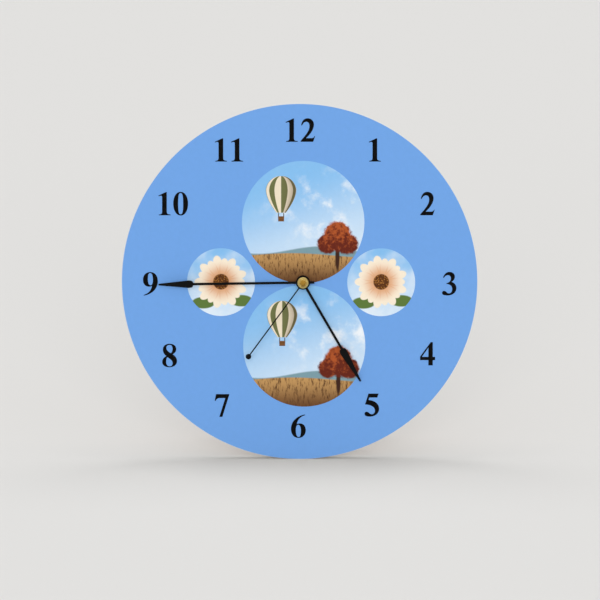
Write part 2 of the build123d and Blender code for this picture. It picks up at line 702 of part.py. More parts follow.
def arbor(radius, front, at, pivot_front=None):
    """Arbor up to the rear cover with a thin rear pivot, and a front pivot where asked."""
    shaft = disc(radius, front, REAR_SHOULDER, at)
    shaft += disc(PIVOT_RADIUS, REAR_SHOULDER, REAR_SHOULDER + PIVOT_LENGTH, at)
    if pivot_front is not None:
        shaft += disc(PIVOT_RADIUS, pivot_front, front, at)
    return shaft


FRONT_BOSS_DEPTH = CASE_INNER_FRONT + FRONT_BOSS_HEIGHT


def hour_wheel():
    phase = gap_phase(MOTION_DIRECTION + 180, HOUR_TEETH)
    teeth = wheel(HOUR_TEETH, HOUR_MODULE, phase, HOUR_WHEEL_DEPTH, MOTION_WORK_THICKNESS)
    body = teeth + disc(HOUR_TUBE_RADIUS, HOUR_TUBE_END, HOUR_WHEEL_DEPTH)
    back = HOUR_WHEEL_DEPTH + MOTION_WORK_THICKNESS
    return body - disc(CANNON_RADIUS + RUNNING_CLEARANCE, HOUR_TUBE_END, back)


def minute_cannon():
    """Minute tube with the cannon pinion; its rear end carries the centre wheel on a slip fit."""
    tube = disc(CANNON_RADIUS, CANNON_END, CANNON_BACK)
    pinion = wheel(
        CANNON_LEAVES, CANNON_MODULE, MOTION_DIRECTION, CANNON_PINION_DEPTH, CANNON_PINION_LENGTH
    )
    return tube + pinion - disc(SECOND_ARBOR_RADIUS + RUNNING_CLEARANCE, CANNON_END, CANNON_BACK)


def clutch_spring():
    """Spring washer between the cannon pinion and the centre wheel, which lets the hands be set."""
    inner = CANNON_RADIUS + SLIP_CLEARANCE
    return ring(CANNON_RADIUS + CLUTCH_WIDTH, inner, CLUTCH_DEPTH, CENTRE_WHEEL_DEPTH - CONTACT_GAP)


def centre_wheel():
    phase = gap_phase(THIRD_DIRECTION + 180, CENTRE_TEETH)
    teeth = wheel(CENTRE_TEETH, THIRD_CENTRE_MODULE, phase, CENTRE_WHEEL_DEPTH, WHEEL_THICKNESS)
    hub = disc(CANNON_RADIUS + CENTRE_HUB_WALL, CENTRE_WHEEL_DEPTH, PLATE_DEPTH - SIDE_PLAY)
    return teeth + hub - disc(CANNON_RADIUS + SLIP_CLEARANCE, 0, PLATE_DEPTH)


def third_wheel():
    phase = gap_phase(THIRD_DIRECTION, THIRD_TEETH)
    pinion_phase = THIRD_DIRECTION + 180
    teeth = wheel(THIRD_TEETH, SECOND_THIRD_MODULE, phase, THIRD_WHEEL_DEPTH, WHEEL_THICKNESS, THIRD_AT)
    pinion = wheel(
        THIRD_LEAVES, THIRD_CENTRE_MODULE, pinion_phase, THIRD_PINION_DEPTH, PINION_LENGTH, THIRD_AT
    )
    front = FRONT_BOSS_DEPTH + SIDE_PLAY
    return teeth + pinion + arbor(ARBOR_RADIUS, front, THIRD_AT, front - PIVOT_LENGTH)


def second_wheel():
    phase = gap_phase(INTERMEDIATE_DIRECTION + 180, SECOND_TEETH)
    teeth = wheel(SECOND_TEETH, SECOND_INTERMEDIATE_MODULE, phase, SECOND_WHEEL_DEPTH, WHEEL_THICKNESS)
    pinion = wheel(SECOND_LEAVES, SECOND_THIRD_MODULE, THIRD_DIRECTION, SECOND_PINION_DEPTH, PINION_LENGTH)
    return teeth + pinion + arbor(SECOND_ARBOR_RADIUS, SECOND_ARBOR_END, (0, 0))


def intermediate_wheel():
    phase = gap_phase(ROTOR_DIRECTION + 180, INTERMEDIATE_TEETH)
    pinion_phase = INTERMEDIATE_DIRECTION + 180
    teeth = wheel(
        INTERMEDIATE_TEETH, ROTOR_MODULE, phase, INTERMEDIATE_WHEEL_DEPTH, WHEEL_THICKNESS, INTERMEDIATE_AT
    )
    pinion = wheel(
        INTERMEDIATE_LEAVES,
        SECOND_INTERMEDIATE_MODULE,
        pinion_phase,
        INTERMEDIATE_PINION_DEPTH,
        PINION_LENGTH,
        INTERMEDIATE_AT,
    )
    front = PLATE_BACK + SIDE_PLAY
    return teeth + pinion + arbor(ARBOR_RADIUS, front, INTERMEDIATE_AT, PLATE_DEPTH)


def rotor_pinion():
    pinion = wheel(
        ROTOR_LEAVES, ROTOR_MODULE, ROTOR_DIRECTION + 180, ROTOR_PINION_DEPTH, PINION_LENGTH, ROTOR_AT
    )
    return pinion + arbor(ARBOR_RADIUS, PLATE_BACK + SIDE_PLAY, ROTOR_AT, PLATE_DEPTH)


def rotor_magnet():
    inner = ARBOR_RADIUS + PRESS_CLEARANCE
    return ring(MAGNET_RADIUS, inner, MAGNET_DEPTH, MAGNET_DEPTH + MAGNET_LENGTH, ROTOR_AT)


KNOB_FRONT = CASE_BACK + KNOB_GAP
STEM_END = KNOB_FRONT + KNOB_LENGTH - KNOB_END


def motion_wheel():
    """Motion wheel and pinion on the setting stem, which comes out through the rear cover."""
    phase = gap_phase(MOTION_DIRECTION, MOTION_TEETH)
    teeth = wheel(
        MOTION_TEETH, CANNON_MODULE, phase, MOTION_WHEEL_DEPTH, MOTION_WORK_THICKNESS, MOTION_AT
    )
    pinion = wheel(
        MOTION_LEAVES,
        HOUR_MODULE,
        MOTION_DIRECTION + 180,
        MOTION_PINION_DEPTH,
        MOTION_PINION_LENGTH,
        MOTION_AT,
    )
    stem = disc(STEM_RADIUS, MOTION_PINION_DEPTH, STEM_END, MOTION_AT)
    pivot = disc(MOTION_PIVOT_RADIUS, MOTION_PINION_DEPTH - PIVOT_LENGTH, MOTION_PINION_DEPTH, MOTION_AT)
    return teeth + pinion + stem + pivot


def ridged_circle(radius, ridges, ridge_depth):
    """Circle with square ridges all round."""
    valley = radius - ridge_depth
    ridge = ((0.0, radius), (0.45, radius), (0.6, valley), (0.85, valley))
    points = []
    for index in range(ridges):
        for share, reach in ridge:
            angle = 2 * pi * (index + share) / ridges
            points.append((reach * cos(angle), reach * sin(angle)))
    return Polygon(*points, align=None)


def setting_knob():
    """Ridged knob on the stem, with a thumb recess in its end."""
    back = KNOB_FRONT + KNOB_LENGTH
    neck = KNOB_FRONT + KNOB_NECK_LENGTH
    grip = Pos(*MOTION_AT) * ridged_circle(KNOB_RADIUS, KNOB_RIDGES, KNOB_RIDGE_DEPTH)
    knob = slab(grip, neck, back) + disc(KNOB_RADIUS - KNOB_NECK_INSET, KNOB_FRONT, neck, MOTION_AT)
    knob -= disc(KNOB_RADIUS - KNOB_RIM, back - KNOB_RECESS, back, MOTION_AT)
    return knob - disc(STEM_RADIUS + PRESS_CLEARANCE, KNOB_FRONT, STEM_END + SIDE_PLAY, MOTION_AT)


# Movement: motor and circuit

STATOR_LEFT = STATOR_INSET - CASE_INNER_HALF_WIDTH
STATOR_BORE = MAGNET_RADIUS + STATOR_AIR_GAP
STATOR_POLE_RADIUS = STATOR_BORE + STATOR_POLE_WIDTH
STATOR_RIGHT = ROTOR_AT[0] + STATOR_POLE_RADIUS
COIL_UP = ROTOR_AT[1] + STATOR_POLE_RADIUS + COIL_POLE_GAP + BOBBIN_FLANGE_RADIUS
COIL_LEFT = STATOR_LEFT + STATOR_LEG + COIL_GAP
COIL_RIGHT = STATOR_RIGHT - STATOR_LEG - COIL_GAP


def stator():
    """Soft iron plate: a pole ring round the rotor and two legs up to the coil's core."""
    right_leg = STATOR_RIGHT - STATOR_LEG
    top = COIL_UP + CORE_HEIGHT / 2
    bar_low = ROTOR_AT[1] - STATOR_LEG / 2
    back = STATOR_DEPTH + STATOR_THICKNESS
    plate = disc(STATOR_POLE_RADIUS, STATOR_DEPTH, back, ROTOR_AT)
    plate += block(STATOR_LEFT, ROTOR_AT[0], bar_low, bar_low + STATOR_LEG, STATOR_DEPTH, back)
    plate += block(STATOR_LEFT, STATOR_LEFT + STATOR_LEG, bar_low, top, STATOR_DEPTH, back)
    plate += block(right_leg, STATOR_RIGHT, ROTOR_AT[1], top, STATOR_DEPTH, back)
    return plate - disc(STATOR_BORE, STATOR_DEPTH, back, ROTOR_AT)


def coil_core():
    low = COIL_UP - CORE_HEIGHT / 2
    high = COIL_UP + CORE_HEIGHT / 2
    return block(STATOR_LEFT, STATOR_RIGHT, low, high, CORE_DEPTH, CORE_DEPTH + CORE_THICKNESS)


def coil_bobbin():
    bobbin = cross_rod(BOBBIN_RADIUS, COIL_LEFT, COIL_RIGHT, COIL_AXIS_DEPTH, COIL_UP)
    for left in (COIL_LEFT, COIL_RIGHT - BOBBIN_FLANGE):
        bobbin += cross_rod(BOBBIN_FLANGE_RADIUS, left, left + BOBBIN_FLANGE, COIL_AXIS_DEPTH, COIL_UP)
    half = CORE_HEIGHT / 2 + CONTACT_GAP
    front = CORE_DEPTH - CONTACT_GAP
    back = CORE_DEPTH + CORE_THICKNESS + CONTACT_GAP
    return bobbin - block(COIL_LEFT, COIL_RIGHT, COIL_UP - half, COIL_UP + half, front, back)


def coil_winding():
    left = COIL_LEFT + BOBBIN_FLANGE
    right = COIL_RIGHT - BOBBIN_FLANGE
    wire = cross_rod(BOBBIN_FLANGE_RADIUS - WINDING_INSET, left, right, COIL_AXIS_DEPTH, COIL_UP)
    return wire - cross_rod(BOBBIN_RADIUS + PRESS_CLEARANCE, left, right, COIL_AXIS_DEPTH, COIL_UP)


CIRCUIT_DEPTH = CASE_INNER_FRONT + CIRCUIT_STANDOFF
CIRCUIT_BACK = CIRCUIT_DEPTH + CIRCUIT_THICKNESS
CIRCUIT_HALF_WIDTH = CASE_INNER_HALF_WIDTH - CIRCUIT_INSET
CIRCUIT_POSTS = [
    (-CIRCUIT_POST_OFFSET, BOARD_HIGH - CIRCUIT_POST_DROP),
    (CIRCUIT_POST_OFFSET, BOARD_HIGH - CIRCUIT_POST_DROP),
]


def circuit_board():
    half = CIRCUIT_HALF_WIDTH
    return block(-half, half, BOARD_LOW, BOARD_HIGH, CIRCUIT_DEPTH, CIRCUIT_BACK)


def quartz_crystal():
    depth = CIRCUIT_BACK + CRYSTAL_RADIUS
    right = CRYSTAL_LEFT + CRYSTAL_LENGTH
    return cross_rod(CRYSTAL_RADIUS, CRYSTAL_LEFT, right, depth, BOARD_LOW + CRYSTAL_RISE)


def timing_chip():
    """Resin blob over the timing chip."""
    place = (CHIP_RIGHT, BOARD_LOW + CHIP_RISE)
    blob = disc(CHIP_RADIUS, CIRCUIT_BACK, CIRCUIT_BACK + CHIP_HEIGHT, place)
    rim = blob.edges().filter_by(GeomType.CIRCLE).sort_by(Axis.Y)[-1]
    return fillet(rim, CHIP_ROUND)


# Movement: battery and its contacts

CONTACT_STRIP_DEPTH = CASE_INNER_FRONT + CONTACT_GAP
CONTACT_STRIP_BACK = CONTACT_STRIP_DEPTH + CONTACT_THICKNESS
CONTACT_INNER = CELL_LENGTH / 2 + CONTACT_GAP
CONTACT_STRIP_INNER = CONTACT_INNER - CONTACT_STRIP_WIDTH


def battery():
    left = -CELL_LENGTH / 2
    right = CELL_LENGTH / 2 - CELL_NUB_LENGTH
    can = cross_rod(CELL_RADIUS, left, right, CELL_DEPTH, CELL_UP)
    can = fillet(can.edges().filter_by(GeomType.CIRCLE), CELL_EDGE_ROUND)
    return can + cross_rod(CELL_NUB_RADIUS, right, right + CELL_NUB_LENGTH, CELL_DEPTH, CELL_UP)


def side_block(side, inner, outer, low, high, front, back):
    """Block on the left (side -1) or the right (side 1), between two distances from the middle."""
    left, right = sorted((side * inner, side * outer))
    return block(left, right, low, high, front, back)


def contact(side):
    """Sprung leaf at one end of the battery, with a strip to the circuit board."""
    inner = CONTACT_INNER
    outer = CASE_INNER_HALF_WIDTH - CONTACT_GAP
    strip_outer = inner + CONTACT_THICKNESS
    low = CELL_UP - CONTACT_BELOW_AXIS
    high = CELL_UP + CONTACT_ABOVE_AXIS
    front = CELL_DEPTH - CONTACT_BEFORE_AXIS
    back = CELL_DEPTH + CONTACT_BEHIND_AXIS
    web_low = high - CONTACT_WEB_WIDTH
    riser_low = BOARD_LOW + CONTACT_THICKNESS
    riser_high = riser_low + CONTACT_THICKNESS
    shape = side_block(side, inner, strip_outer, low, high, front, back)
    shape += side_block(side, outer - CONTACT_THICKNESS, outer, low, high, front, back)
    shape += side_block(side, inner, outer, low, high, front, front + CONTACT_THICKNESS)
    shape += side_block(side, inner, strip_outer, web_low, high, CONTACT_STRIP_DEPTH, front)
    strip = (side, CONTACT_STRIP_INNER, strip_outer)
    shape += side_block(*strip, web_low, riser_high, CONTACT_STRIP_DEPTH, CONTACT_STRIP_BACK)
    shape += side_block(*strip, riser_low, riser_high, CONTACT_STRIP_BACK, CIRCUIT_DEPTH)
    return shape


# Movement: case, plate and fixings

PILLAR_RIGHT = CASE_INNER_HALF_WIDTH - PILLAR_INSET
PILLARS = [(side * PILLAR_RIGHT, up) for side in (-1, 1) for up in (PILLAR_LOW, PILLAR_HIGH)]
REAR_PIVOTS = [(0, 0), THIRD_AT, INTERMEDIATE_AT, ROTOR_AT]
STATOR_POSTS = [
    (STATOR_LEFT + STATOR_LEG / 2, ROTOR_AT[1]),
    (STATOR_RIGHT - STATOR_LEG / 2, PLATE_HIGH - STATOR_POST_DROP),
]


def case_block(low, high, front, back):
    """Full-width block of the movement's case with its rounded corners."""
    middle = Pos(0, (CASE_LOW + CASE_HIGH) / 2)
    outline = middle * RectangleRounded(2 * CASE_HALF_WIDTH, CASE_HIGH - CASE_LOW, CASE_CORNER)
    return slab(outline, front, back) & block(-CASE_HALF_WIDTH, CASE_HALF_WIDTH, low, high, front, back)


def lug(right, edge, side):
    """Outline of a screw lug that stands out over the case's upper or lower edge."""
    middle = edge + side * (LUG_REACH - LUG_ROOT) / 2
    return Pos(right, middle) * RectangleRounded(LUG_WIDTH, LUG_REACH + LUG_ROOT, LUG_ROUND)


def front_case():
    """Front half of the movement's case, with the battery bay and the collar through the dial."""
    inner = CASE_INNER_HALF_WIDTH
    case = case_block(CASE_LOW, CASE_HIGH, CASE_FRONT, CASE_JOIN)
    case -= block(-inner, inner, BAY_HIGH, TRAIN_HIGH, CASE_INNER_FRONT, CASE_JOIN)
    case += case_block(CASE_LOW, BAY_HIGH, CASE_JOIN, BAY_BACK)
    case += case_block(BAY_HIGH, TRAIN_LOW, CASE_INNER_FRONT, CASE_INNER_BACK)
    case -= block(-inner, inner, BAY_LOW, BAY_HIGH, CASE_INNER_FRONT, BAY_BACK)
    notch_inner = CONTACT_STRIP_INNER - CONTACT_NOTCH_PLAY
    notch_back = CONTACT_STRIP_BACK + CONTACT_NOTCH_PLAY
    for side in (-1, 1):
        case -= side_block(side, notch_inner, inner, BAY_HIGH, TRAIN_LOW, CASE_INNER_FRONT, notch_back)
    for right, edge, side in LUGS:
        case += slab(lug(right, edge, side), DIAL_BACK, CASE_INNER_FRONT)
    for place in LUG_SCREWS:
        case -= disc(WOOD_SCREW_RADIUS + SIDE_PLAY, DIAL_BACK, CASE_INNER_FRONT, place)
    case += disc(COLLAR_RADIUS, -COLLAR_PROUD, CASE_FRONT)
    case += disc(COLLAR_RADIUS + COLLAR_BOSS_WALL, CASE_INNER_FRONT, HOUR_WHEEL_DEPTH - SIDE_PLAY)
    case -= disc(HOUR_TUBE_RADIUS + RUNNING_CLEARANCE, -COLLAR_PROUD, HOUR_WHEEL_DEPTH)
    for place in PILLARS:
        case += disc(PILLAR_RADIUS, CASE_INNER_FRONT, PLATE_DEPTH, place)
    for place in CIRCUIT_POSTS:
        case += disc(CIRCUIT_POST_RADIUS, CASE_INNER_FRONT, CIRCUIT_DEPTH, place)
    for place in CASE_SCREWS:
        case += disc(CASE_SCREW_HEAD_RADIUS, CASE_INNER_FRONT, CASE_INNER_BACK, place)
        pilot = CASE_SCREW_RADIUS + PRESS_CLEARANCE
        case -= disc(pilot, CASE_BACK - CASE_SCREW_BITE - SIDE_PLAY, CASE_INNER_BACK, place)
    case += disc(FRONT_BOSS_RADIUS, CASE_INNER_FRONT, FRONT_BOSS_DEPTH, THIRD_AT)
    pivot = PIVOT_RADIUS + SLIP_CLEARANCE
    case -= disc(pivot, FRONT_BOSS_DEPTH - PIVOT_LENGTH, FRONT_BOSS_DEPTH, THIRD_AT)
    motion_pivot = MOTION_PIVOT_RADIUS + SLIP_CLEARANCE
    motion_seat = MOTION_PINION_DEPTH - PIVOT_LENGTH - SIDE_PLAY
    return case - disc(motion_pivot, motion_seat, CASE_INNER_FRONT, MOTION_AT)


def middle_plate():
    """Plate between the motion work and the going train, carried on the case's pillars."""
    half = CASE_INNER_HALF_WIDTH - PLATE_INSET
    plate = block(-half, half, TRAIN_LOW + PLATE_FOOT_GAP, PLATE_HIGH, PLATE_DEPTH, PLATE_BACK)
    for place in STATOR_POSTS:
        plate += disc(STATOR_POST_RADIUS, PLATE_BACK, STATOR_DEPTH, place)
    holes = [
        ((0, 0), SECOND_ARBOR_RADIUS + RUNNING_CLEARANCE),
        (THIRD_AT, ARBOR_RADIUS + RUNNING_CLEARANCE),
        (MOTION_AT, STEM_RADIUS + RUNNING_CLEARANCE),
        (INTERMEDIATE_AT, PIVOT_RADIUS + SLIP_CLEARANCE),
        (ROTOR_AT, PIVOT_RADIUS + SLIP_CLEARANCE),
    ]
    for place, radius in holes:
        plate -= disc(radius, PLATE_DEPTH, PLATE_BACK, place)
    return plate


HANGER_LOW = CASE_HIGH
HANGER_DEPTH = CASE_INNER_BACK - HANGER_THICKNESS - HANGER_INSET


def rear_cover():
    """Rear half of the case over the train, with the pivot bosses and the knob's hole."""
    inner = CASE_INNER_HALF_WIDTH
    outer = CASE_HALF_WIDTH
    cover = case_block(BAY_HIGH, CASE_HIGH, CASE_JOIN, CASE_BACK)
    cover -= block(-inner, inner, BAY_HIGH, TRAIN_HIGH, CASE_JOIN, CASE_INNER_BACK)
    cover -= block(-outer, outer, BAY_HIGH, TRAIN_LOW, CASE_JOIN, CASE_INNER_BACK)
    for place in REAR_PIVOTS:
        cover += disc(REAR_BOSS_RADIUS, REAR_BOSS_DEPTH, CASE_INNER_BACK, place)
        cover -= disc(PIVOT_RADIUS + SLIP_CLEARANCE, REAR_BOSS_DEPTH, CASE_INNER_BACK, place)
    cover -= disc(STEM_RADIUS + RUNNING_CLEARANCE, CASE_INNER_BACK, CASE_BACK, MOTION_AT)
    for place in CASE_SCREWS:
        cover -= disc(CASE_SCREW_RADIUS + SIDE_PLAY, CASE_INNER_BACK, CASE_BACK, place)
    half_slot = HANGER_TONGUE_WIDTH / 2 + CONTACT_GAP
    slot_front = HANGER_DEPTH - CONTACT_GAP
    slot_back = HANGER_DEPTH + HANGER_THICKNESS + CONTACT_GAP
    return cover - block(-half_slot, half_slot, TRAIN_HIGH, CASE_HIGH, slot_front, slot_back)


def hanger():
    """Hanging loop, with a tongue pushed into the rear cover's top wall."""
    back = HANGER_DEPTH + HANGER_THICKNESS
    half = HANGER_WIDTH / 2
    loop_up = HANGER_LOW + HANGER_HEIGHT / 2
    outline = Pos(0, loop_up) * RectangleRounded(HANGER_WIDTH, HANGER_HEIGHT, HANGER_ROUND)
    plate = slab(outline, HANGER_DEPTH, back)
    plate += block(-half, half, HANGER_LOW, loop_up, HANGER_DEPTH, back)
    tongue = HANGER_TONGUE_WIDTH / 2
    plate += block(-tongue, tongue, TRAIN_HIGH + CONTACT_GAP, HANGER_LOW, HANGER_DEPTH, back)
    return plate - disc(HANGER_HOLE_RADIUS, HANGER_DEPTH, back, (0, loop_up))


def foam_pad():
    frame = Rectangle(PAD_WIDTH, PAD_WIDTH) - Circle(PAD_HOLE_RADIUS)
    return slab(frame, DIAL_BACK, CASE_FRONT)


def movement_screws():
    return Compound([wood_screw(CASE_INNER_FRONT, place).solid() for place in LUG_SCREWS])


def cover_screw(place):
    head = (CASE_SCREW_HEAD_RADIUS, CASE_SCREW_HEAD)
    return slotted_screw(CASE_SCREW_RADIUS, *head, CASE_BACK, CASE_SCREW_BITE, place)


def cover_screws():
    return Compound([cover_screw(place).solid() for place in CASE_SCREWS])


# Folding leg


def opened(folded):
    """Swings a piece of the leg from flat against the dial to where it stands."""
    pivot = Pos(0, PIVOT_DEPTH, LEG_PIVOT_HEIGHT)
    return pivot * Rot(LEG_OPENING, 0, 0) * pivot.inverse() * folded


FOOT_UP = LEG_PIVOT_HEIGHT - LEG_LENGTH


def wire_leg():
    top = LEG_TOP_HALF_WIDTH
    foot = LEG_FOOT_HALF_WIDTH
    end = top + TRUNNION_LENGTH
    corners = [
        (-end, LEG_PIVOT_HEIGHT),
        (-top, LEG_PIVOT_HEIGHT),
        (-foot, FOOT_UP),
        (foot, FOOT_UP),
        (top, LEG_PIVOT_HEIGHT),
        (end, LEG_PIVOT_HEIGHT),
    ]
    bends = [LEG_TOP_BEND, LEG_FOOT_BEND, LEG_FOOT_BEND, LEG_TOP_BEND]
    route = FilletPolyline(*[(right, PIVOT_DEPTH, up) for right, up in corners], radius=bends)
    section = Plane(origin=route @ 0, z_dir=route % 0) * Circle(WIRE_RADIUS)
    return opened(sweep(section, path=route))


def leg_feet():
    feet = []
    for left in (-FOOT_INSET - FOOT_LENGTH, FOOT_INSET):
        sleeve = cross_rod(FOOT_RADIUS, left, left + FOOT_LENGTH, PIVOT_DEPTH, FOOT_UP)
        bore = WIRE_RADIUS + PRESS_CLEARANCE
        sleeve -= cross_rod(bore, left, left + FOOT_LENGTH, PIVOT_DEPTH, FOOT_UP)
        feet.append(opened(sleeve).solid())
    return Compound(feet)


def leg_bracket(side):
    """Bracket on the dial's back: an ear for the wire's end and a hooked stop over the wire."""
    base_back = DIAL_BACK + BRACKET_THICKNESS
    outer = BRACKET_LEFT + BRACKET_WIDTH
    up = LEG_PIVOT_HEIGHT
    low = up - BRACKET_HEIGHT / 2
    bracket = side_block(side, BRACKET_LEFT, outer, low, low + BRACKET_HEIGHT, DIAL_BACK, base_back)
    ear_radius = WIRE_RADIUS + EAR_WALL
    ear_inner = LEG_TOP_HALF_WIDTH + EAR_INSET
    ear_outer = ear_inner + EAR_WIDTH
    ear_ends = sorted((side * ear_inner, side * ear_outer))
    bracket += cross_rod(ear_radius, *ear_ends, PIVOT_DEPTH, up)
    ear_foot = (up - ear_radius, up + ear_radius, DIAL_BACK, PIVOT_DEPTH)
    bracket += side_block(side, ear_inner, ear_outer, *ear_foot)
    stop_low = up - STOP_DROP
    stop_high = stop_low + STOP_HEIGHT
    opening = radians(LEG_OPENING)
    stop_front = PIVOT_DEPTH + STOP_DROP * tan(opening) + WIRE_RADIUS / cos(opening) + STOP_GAP
    stop_back = stop_front + STOP_THICKNESS
    bracket += side_block(side, BRACKET_LEFT, ear_inner, stop_low, stop_high, DIAL_BACK, stop_back)
    hook_inner = LEG_TOP_HALF_WIDTH - 2 * WIRE_RADIUS
    bracket += side_block(side, hook_inner, ear_inner, stop_low, stop_high, stop_front, stop_back)
    bracket -= cross_rod(WIRE_RADIUS + RUNNING_CLEARANCE, *ear_ends, PIVOT_DEPTH, up)
    for place in BRACKET_SCREWS:
        if place[0] * side > 0:
            bracket -= disc(WOOD_SCREW_RADIUS + SIDE_PLAY, DIAL_BACK, base_back, place)
    return bracket


def bracket_screws():
    seat = DIAL_BACK + BRACKET_THICKNESS
    return Compound([wood_screw(seat, place).solid() for place in BRACKET_SCREWS])


# Standing the clock on the table


def stood(piece):
    """Leans a piece back and puts the footprint's middle, below the disc's middle, at the origin."""
    on_table = Pos(SHAFT_RIGHT_OF_MIDDLE, -FOOTPRINT_DEPTH / 2, 0)
    return on_table * Rot(-LEAN, 0, 0) * Pos(0, 0, DIAL_RADIUS) * piece


PIECES = {
    "dial_board": dial_board,
    "face_sheet": face_sheet,
    "hour_numerals": hour_numerals,
    "hour_hand": hour_hand,
    "minute_hand": minute_hand,
    "second_hand": second_hand,
    "second_hand_bush": second_hand_bush,
    "second_hand_cap": second_hand_cap,
    "hour_wheel": hour_wheel,
    "minute_cannon": minute_cannon,
    "clutch_spring": clutch_spring,
    "centre_wheel": centre_wheel,
    "third_wheel": third_wheel,
    "second_wheel": second_wheel,
    "intermediate_wheel": intermediate_wheel,
    "rotor_pinion": rotor_pinion,
    "rotor_magnet": rotor_magnet,
    "motion_wheel": motion_wheel,
    "setting_knob": setting_knob,
    "stator": stator,
    "coil_core": coil_core,
    "coil_bobbin": coil_bobbin,
    "coil_winding": coil_winding,
    "circuit_board": circuit_board,
    "quartz_crystal": quartz_crystal,
    "timing_chip": timing_chip,
    "battery": battery,
    "front_case": front_case,
    "middle_plate": middle_plate,
    "rear_cover": rear_cover,
    "hanger": hanger,
    "foam_pad": foam_pad,
    "movement_screws": movement_screws,
    "cover_screws": cover_screws,
    "wire_leg": wire_leg,
    "leg_feet": leg_feet,
    "bracket_screws": bracket_screws,
}


def all_pieces():
    made = {name: make() for name, make in PIECES.items()}
    for name in PICTURE_CENTRES:
        made[name] = picture(name)
    for name, side in (("left", -1), ("right", 1)):
        made[f"leg_bracket_{name}"] = leg_bracket(side)
    made["battery_contact_minus"] = contact(-1)
    made["battery_contact_plus"] = contact(1)
    return made


def main():
    os.makedirs("parts", exist_ok=True)
    for name, piece in all_pieces().items():
        export_step(stood(piece), f"parts/{name}.step")
    print(f"movement case {CASE_WIDTH:.2f} x {CASE_HIGH - CASE_LOW:.2f} x {CASE_DEPTH:.2f} mm")
    print(f"leg {LEG_LENGTH:.2f} mm, opens {LEG_OPENING:.2f} degrees")
    print(f"footprint {FOOTPRINT_DEPTH:.2f} mm deep")


main()
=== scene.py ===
# %% [markdown]
# A printed table clock
#
# The object is a flat round board with a printed face, three black hands, a battery movement
# behind it and a folding wire leg. Its solids come from the CAD model. This lesson gives each of
# them a finish, adds small moulded details, and sets up light and a camera.
# Everything is in metres in the CAD model's own frame, with the table at z = 0.

# %% Load the solids
import json
import math

import bmesh
import bpy
from mathutils import Matrix, Vector


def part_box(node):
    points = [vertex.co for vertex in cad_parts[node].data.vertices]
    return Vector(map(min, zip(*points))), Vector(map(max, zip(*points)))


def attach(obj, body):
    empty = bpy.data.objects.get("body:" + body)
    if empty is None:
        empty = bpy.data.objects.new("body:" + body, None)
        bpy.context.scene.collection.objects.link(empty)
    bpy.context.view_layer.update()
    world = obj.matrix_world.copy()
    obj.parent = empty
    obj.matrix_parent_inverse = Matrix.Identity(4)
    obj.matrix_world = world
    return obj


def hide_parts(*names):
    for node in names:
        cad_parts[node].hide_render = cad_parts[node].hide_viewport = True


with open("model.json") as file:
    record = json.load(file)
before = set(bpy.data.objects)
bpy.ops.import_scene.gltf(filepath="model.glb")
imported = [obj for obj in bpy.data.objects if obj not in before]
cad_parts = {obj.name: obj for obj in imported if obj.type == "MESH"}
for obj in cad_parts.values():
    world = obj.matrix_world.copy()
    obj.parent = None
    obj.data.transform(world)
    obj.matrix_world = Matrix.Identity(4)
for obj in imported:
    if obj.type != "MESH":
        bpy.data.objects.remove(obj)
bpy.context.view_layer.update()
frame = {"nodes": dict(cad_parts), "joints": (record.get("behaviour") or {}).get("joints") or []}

nodes = frame["nodes"]
MM = 0.001
print("solids loaded:", len(nodes))

# %% [markdown]
# The dial leans back, so nothing on it is upright in the world's axes. The hands' joint holds
# the direction of the shaft, and from it follow the dial's own right, up and back. Every later
# step is then laid out as if the dial stood straight in front of us.

# %% The dial's own axes
joints = {joint["name"]: joint for joint in frame["joints"]}
shaft = joints["second_hand_spin"]
RIGHT = Vector((1, 0, 0))
BACK = Vector(shaft["axis"])
UP = RIGHT.cross(BACK)
LEAN = math.atan2(UP.y, UP.z)


def reach(node, direction, start):
    """Least and greatest distance of a solid from a start point, along a direction."""
    distances = [(vertex.co - start).dot(direction) for vertex in nodes[node].data.vertices]
    return min(distances), max(distances)


shaft_point = Vector(shaft["pos_m"])
HUB = shaft_point + reach("face_sheet", BACK, shaft_point)[0] * BACK
left_edge, right_edge = reach("face_sheet", RIGHT, HUB)
DIAL_RADIUS = (right_edge - left_edge) / 2
DIAL_MIDDLE = HUB + RIGHT * (left_edge + right_edge) / 2
HUB_MATRIX = Matrix.Translation(HUB) @ Matrix.Rotation(-LEAN, 4, "X")
print("lean in degrees:", round(math.degrees(LEAN), 2))
print("dial radius in mm:", round(DIAL_RADIUS / MM, 2))

# %% [markdown]
# A finish in Blender is a small graph of nodes. Written out node by node it is hard to read, so
# a few helpers come first: one adds a node and fills its inputs, the others make the sums, fades
# and mixes that every finish here is built from. A socket knows its tree, so a node that is linked
# to one joins that tree.

# %% Helpers for node graphs


def add_node(kind, inputs=None, tree=None, **settings):
    """Adds a node with its settings and inputs, in the tree of the sockets that lead to it."""
    inputs = inputs or {}
    linked = [label for label in inputs if isinstance(inputs[label], bpy.types.NodeSocket)]
    tree = tree or inputs[linked[0]].id_data
    node = tree.nodes.new(kind)
    for label, value in settings.items():
        setattr(node, label, value)
    for label, value in inputs.items():
        if label in linked:
            tree.links.new(value, node.inputs[label])
        else:
            node.inputs[label].default_value = value
    return node


def calc(operation, *values):
    """One sum, named as in the Math node."""
    return add_node("ShaderNodeMath", dict(enumerate(values)), operation=operation).outputs[0]


def times(first, second):
    """Product of two values; of two masks it is what lies in both."""
    return calc("MULTIPLY", first, second)


def fade(value, start, end):
    """Mask that goes smoothly from 0 at the start to 1 at the end."""
    inputs = {"Value": value, "From Min": start, "From Max": end}
    return add_node("ShaderNodeMapRange", inputs, interpolation_type="SMOOTHSTEP").outputs[0]


def scaled(value, low, high):
    """Stretches a value that runs from 0 to 1 so that it runs from low to high."""
    inputs = {"Value": value, "To Min": low, "To Max": high}
    return add_node("ShaderNodeMapRange", inputs).outputs[0]


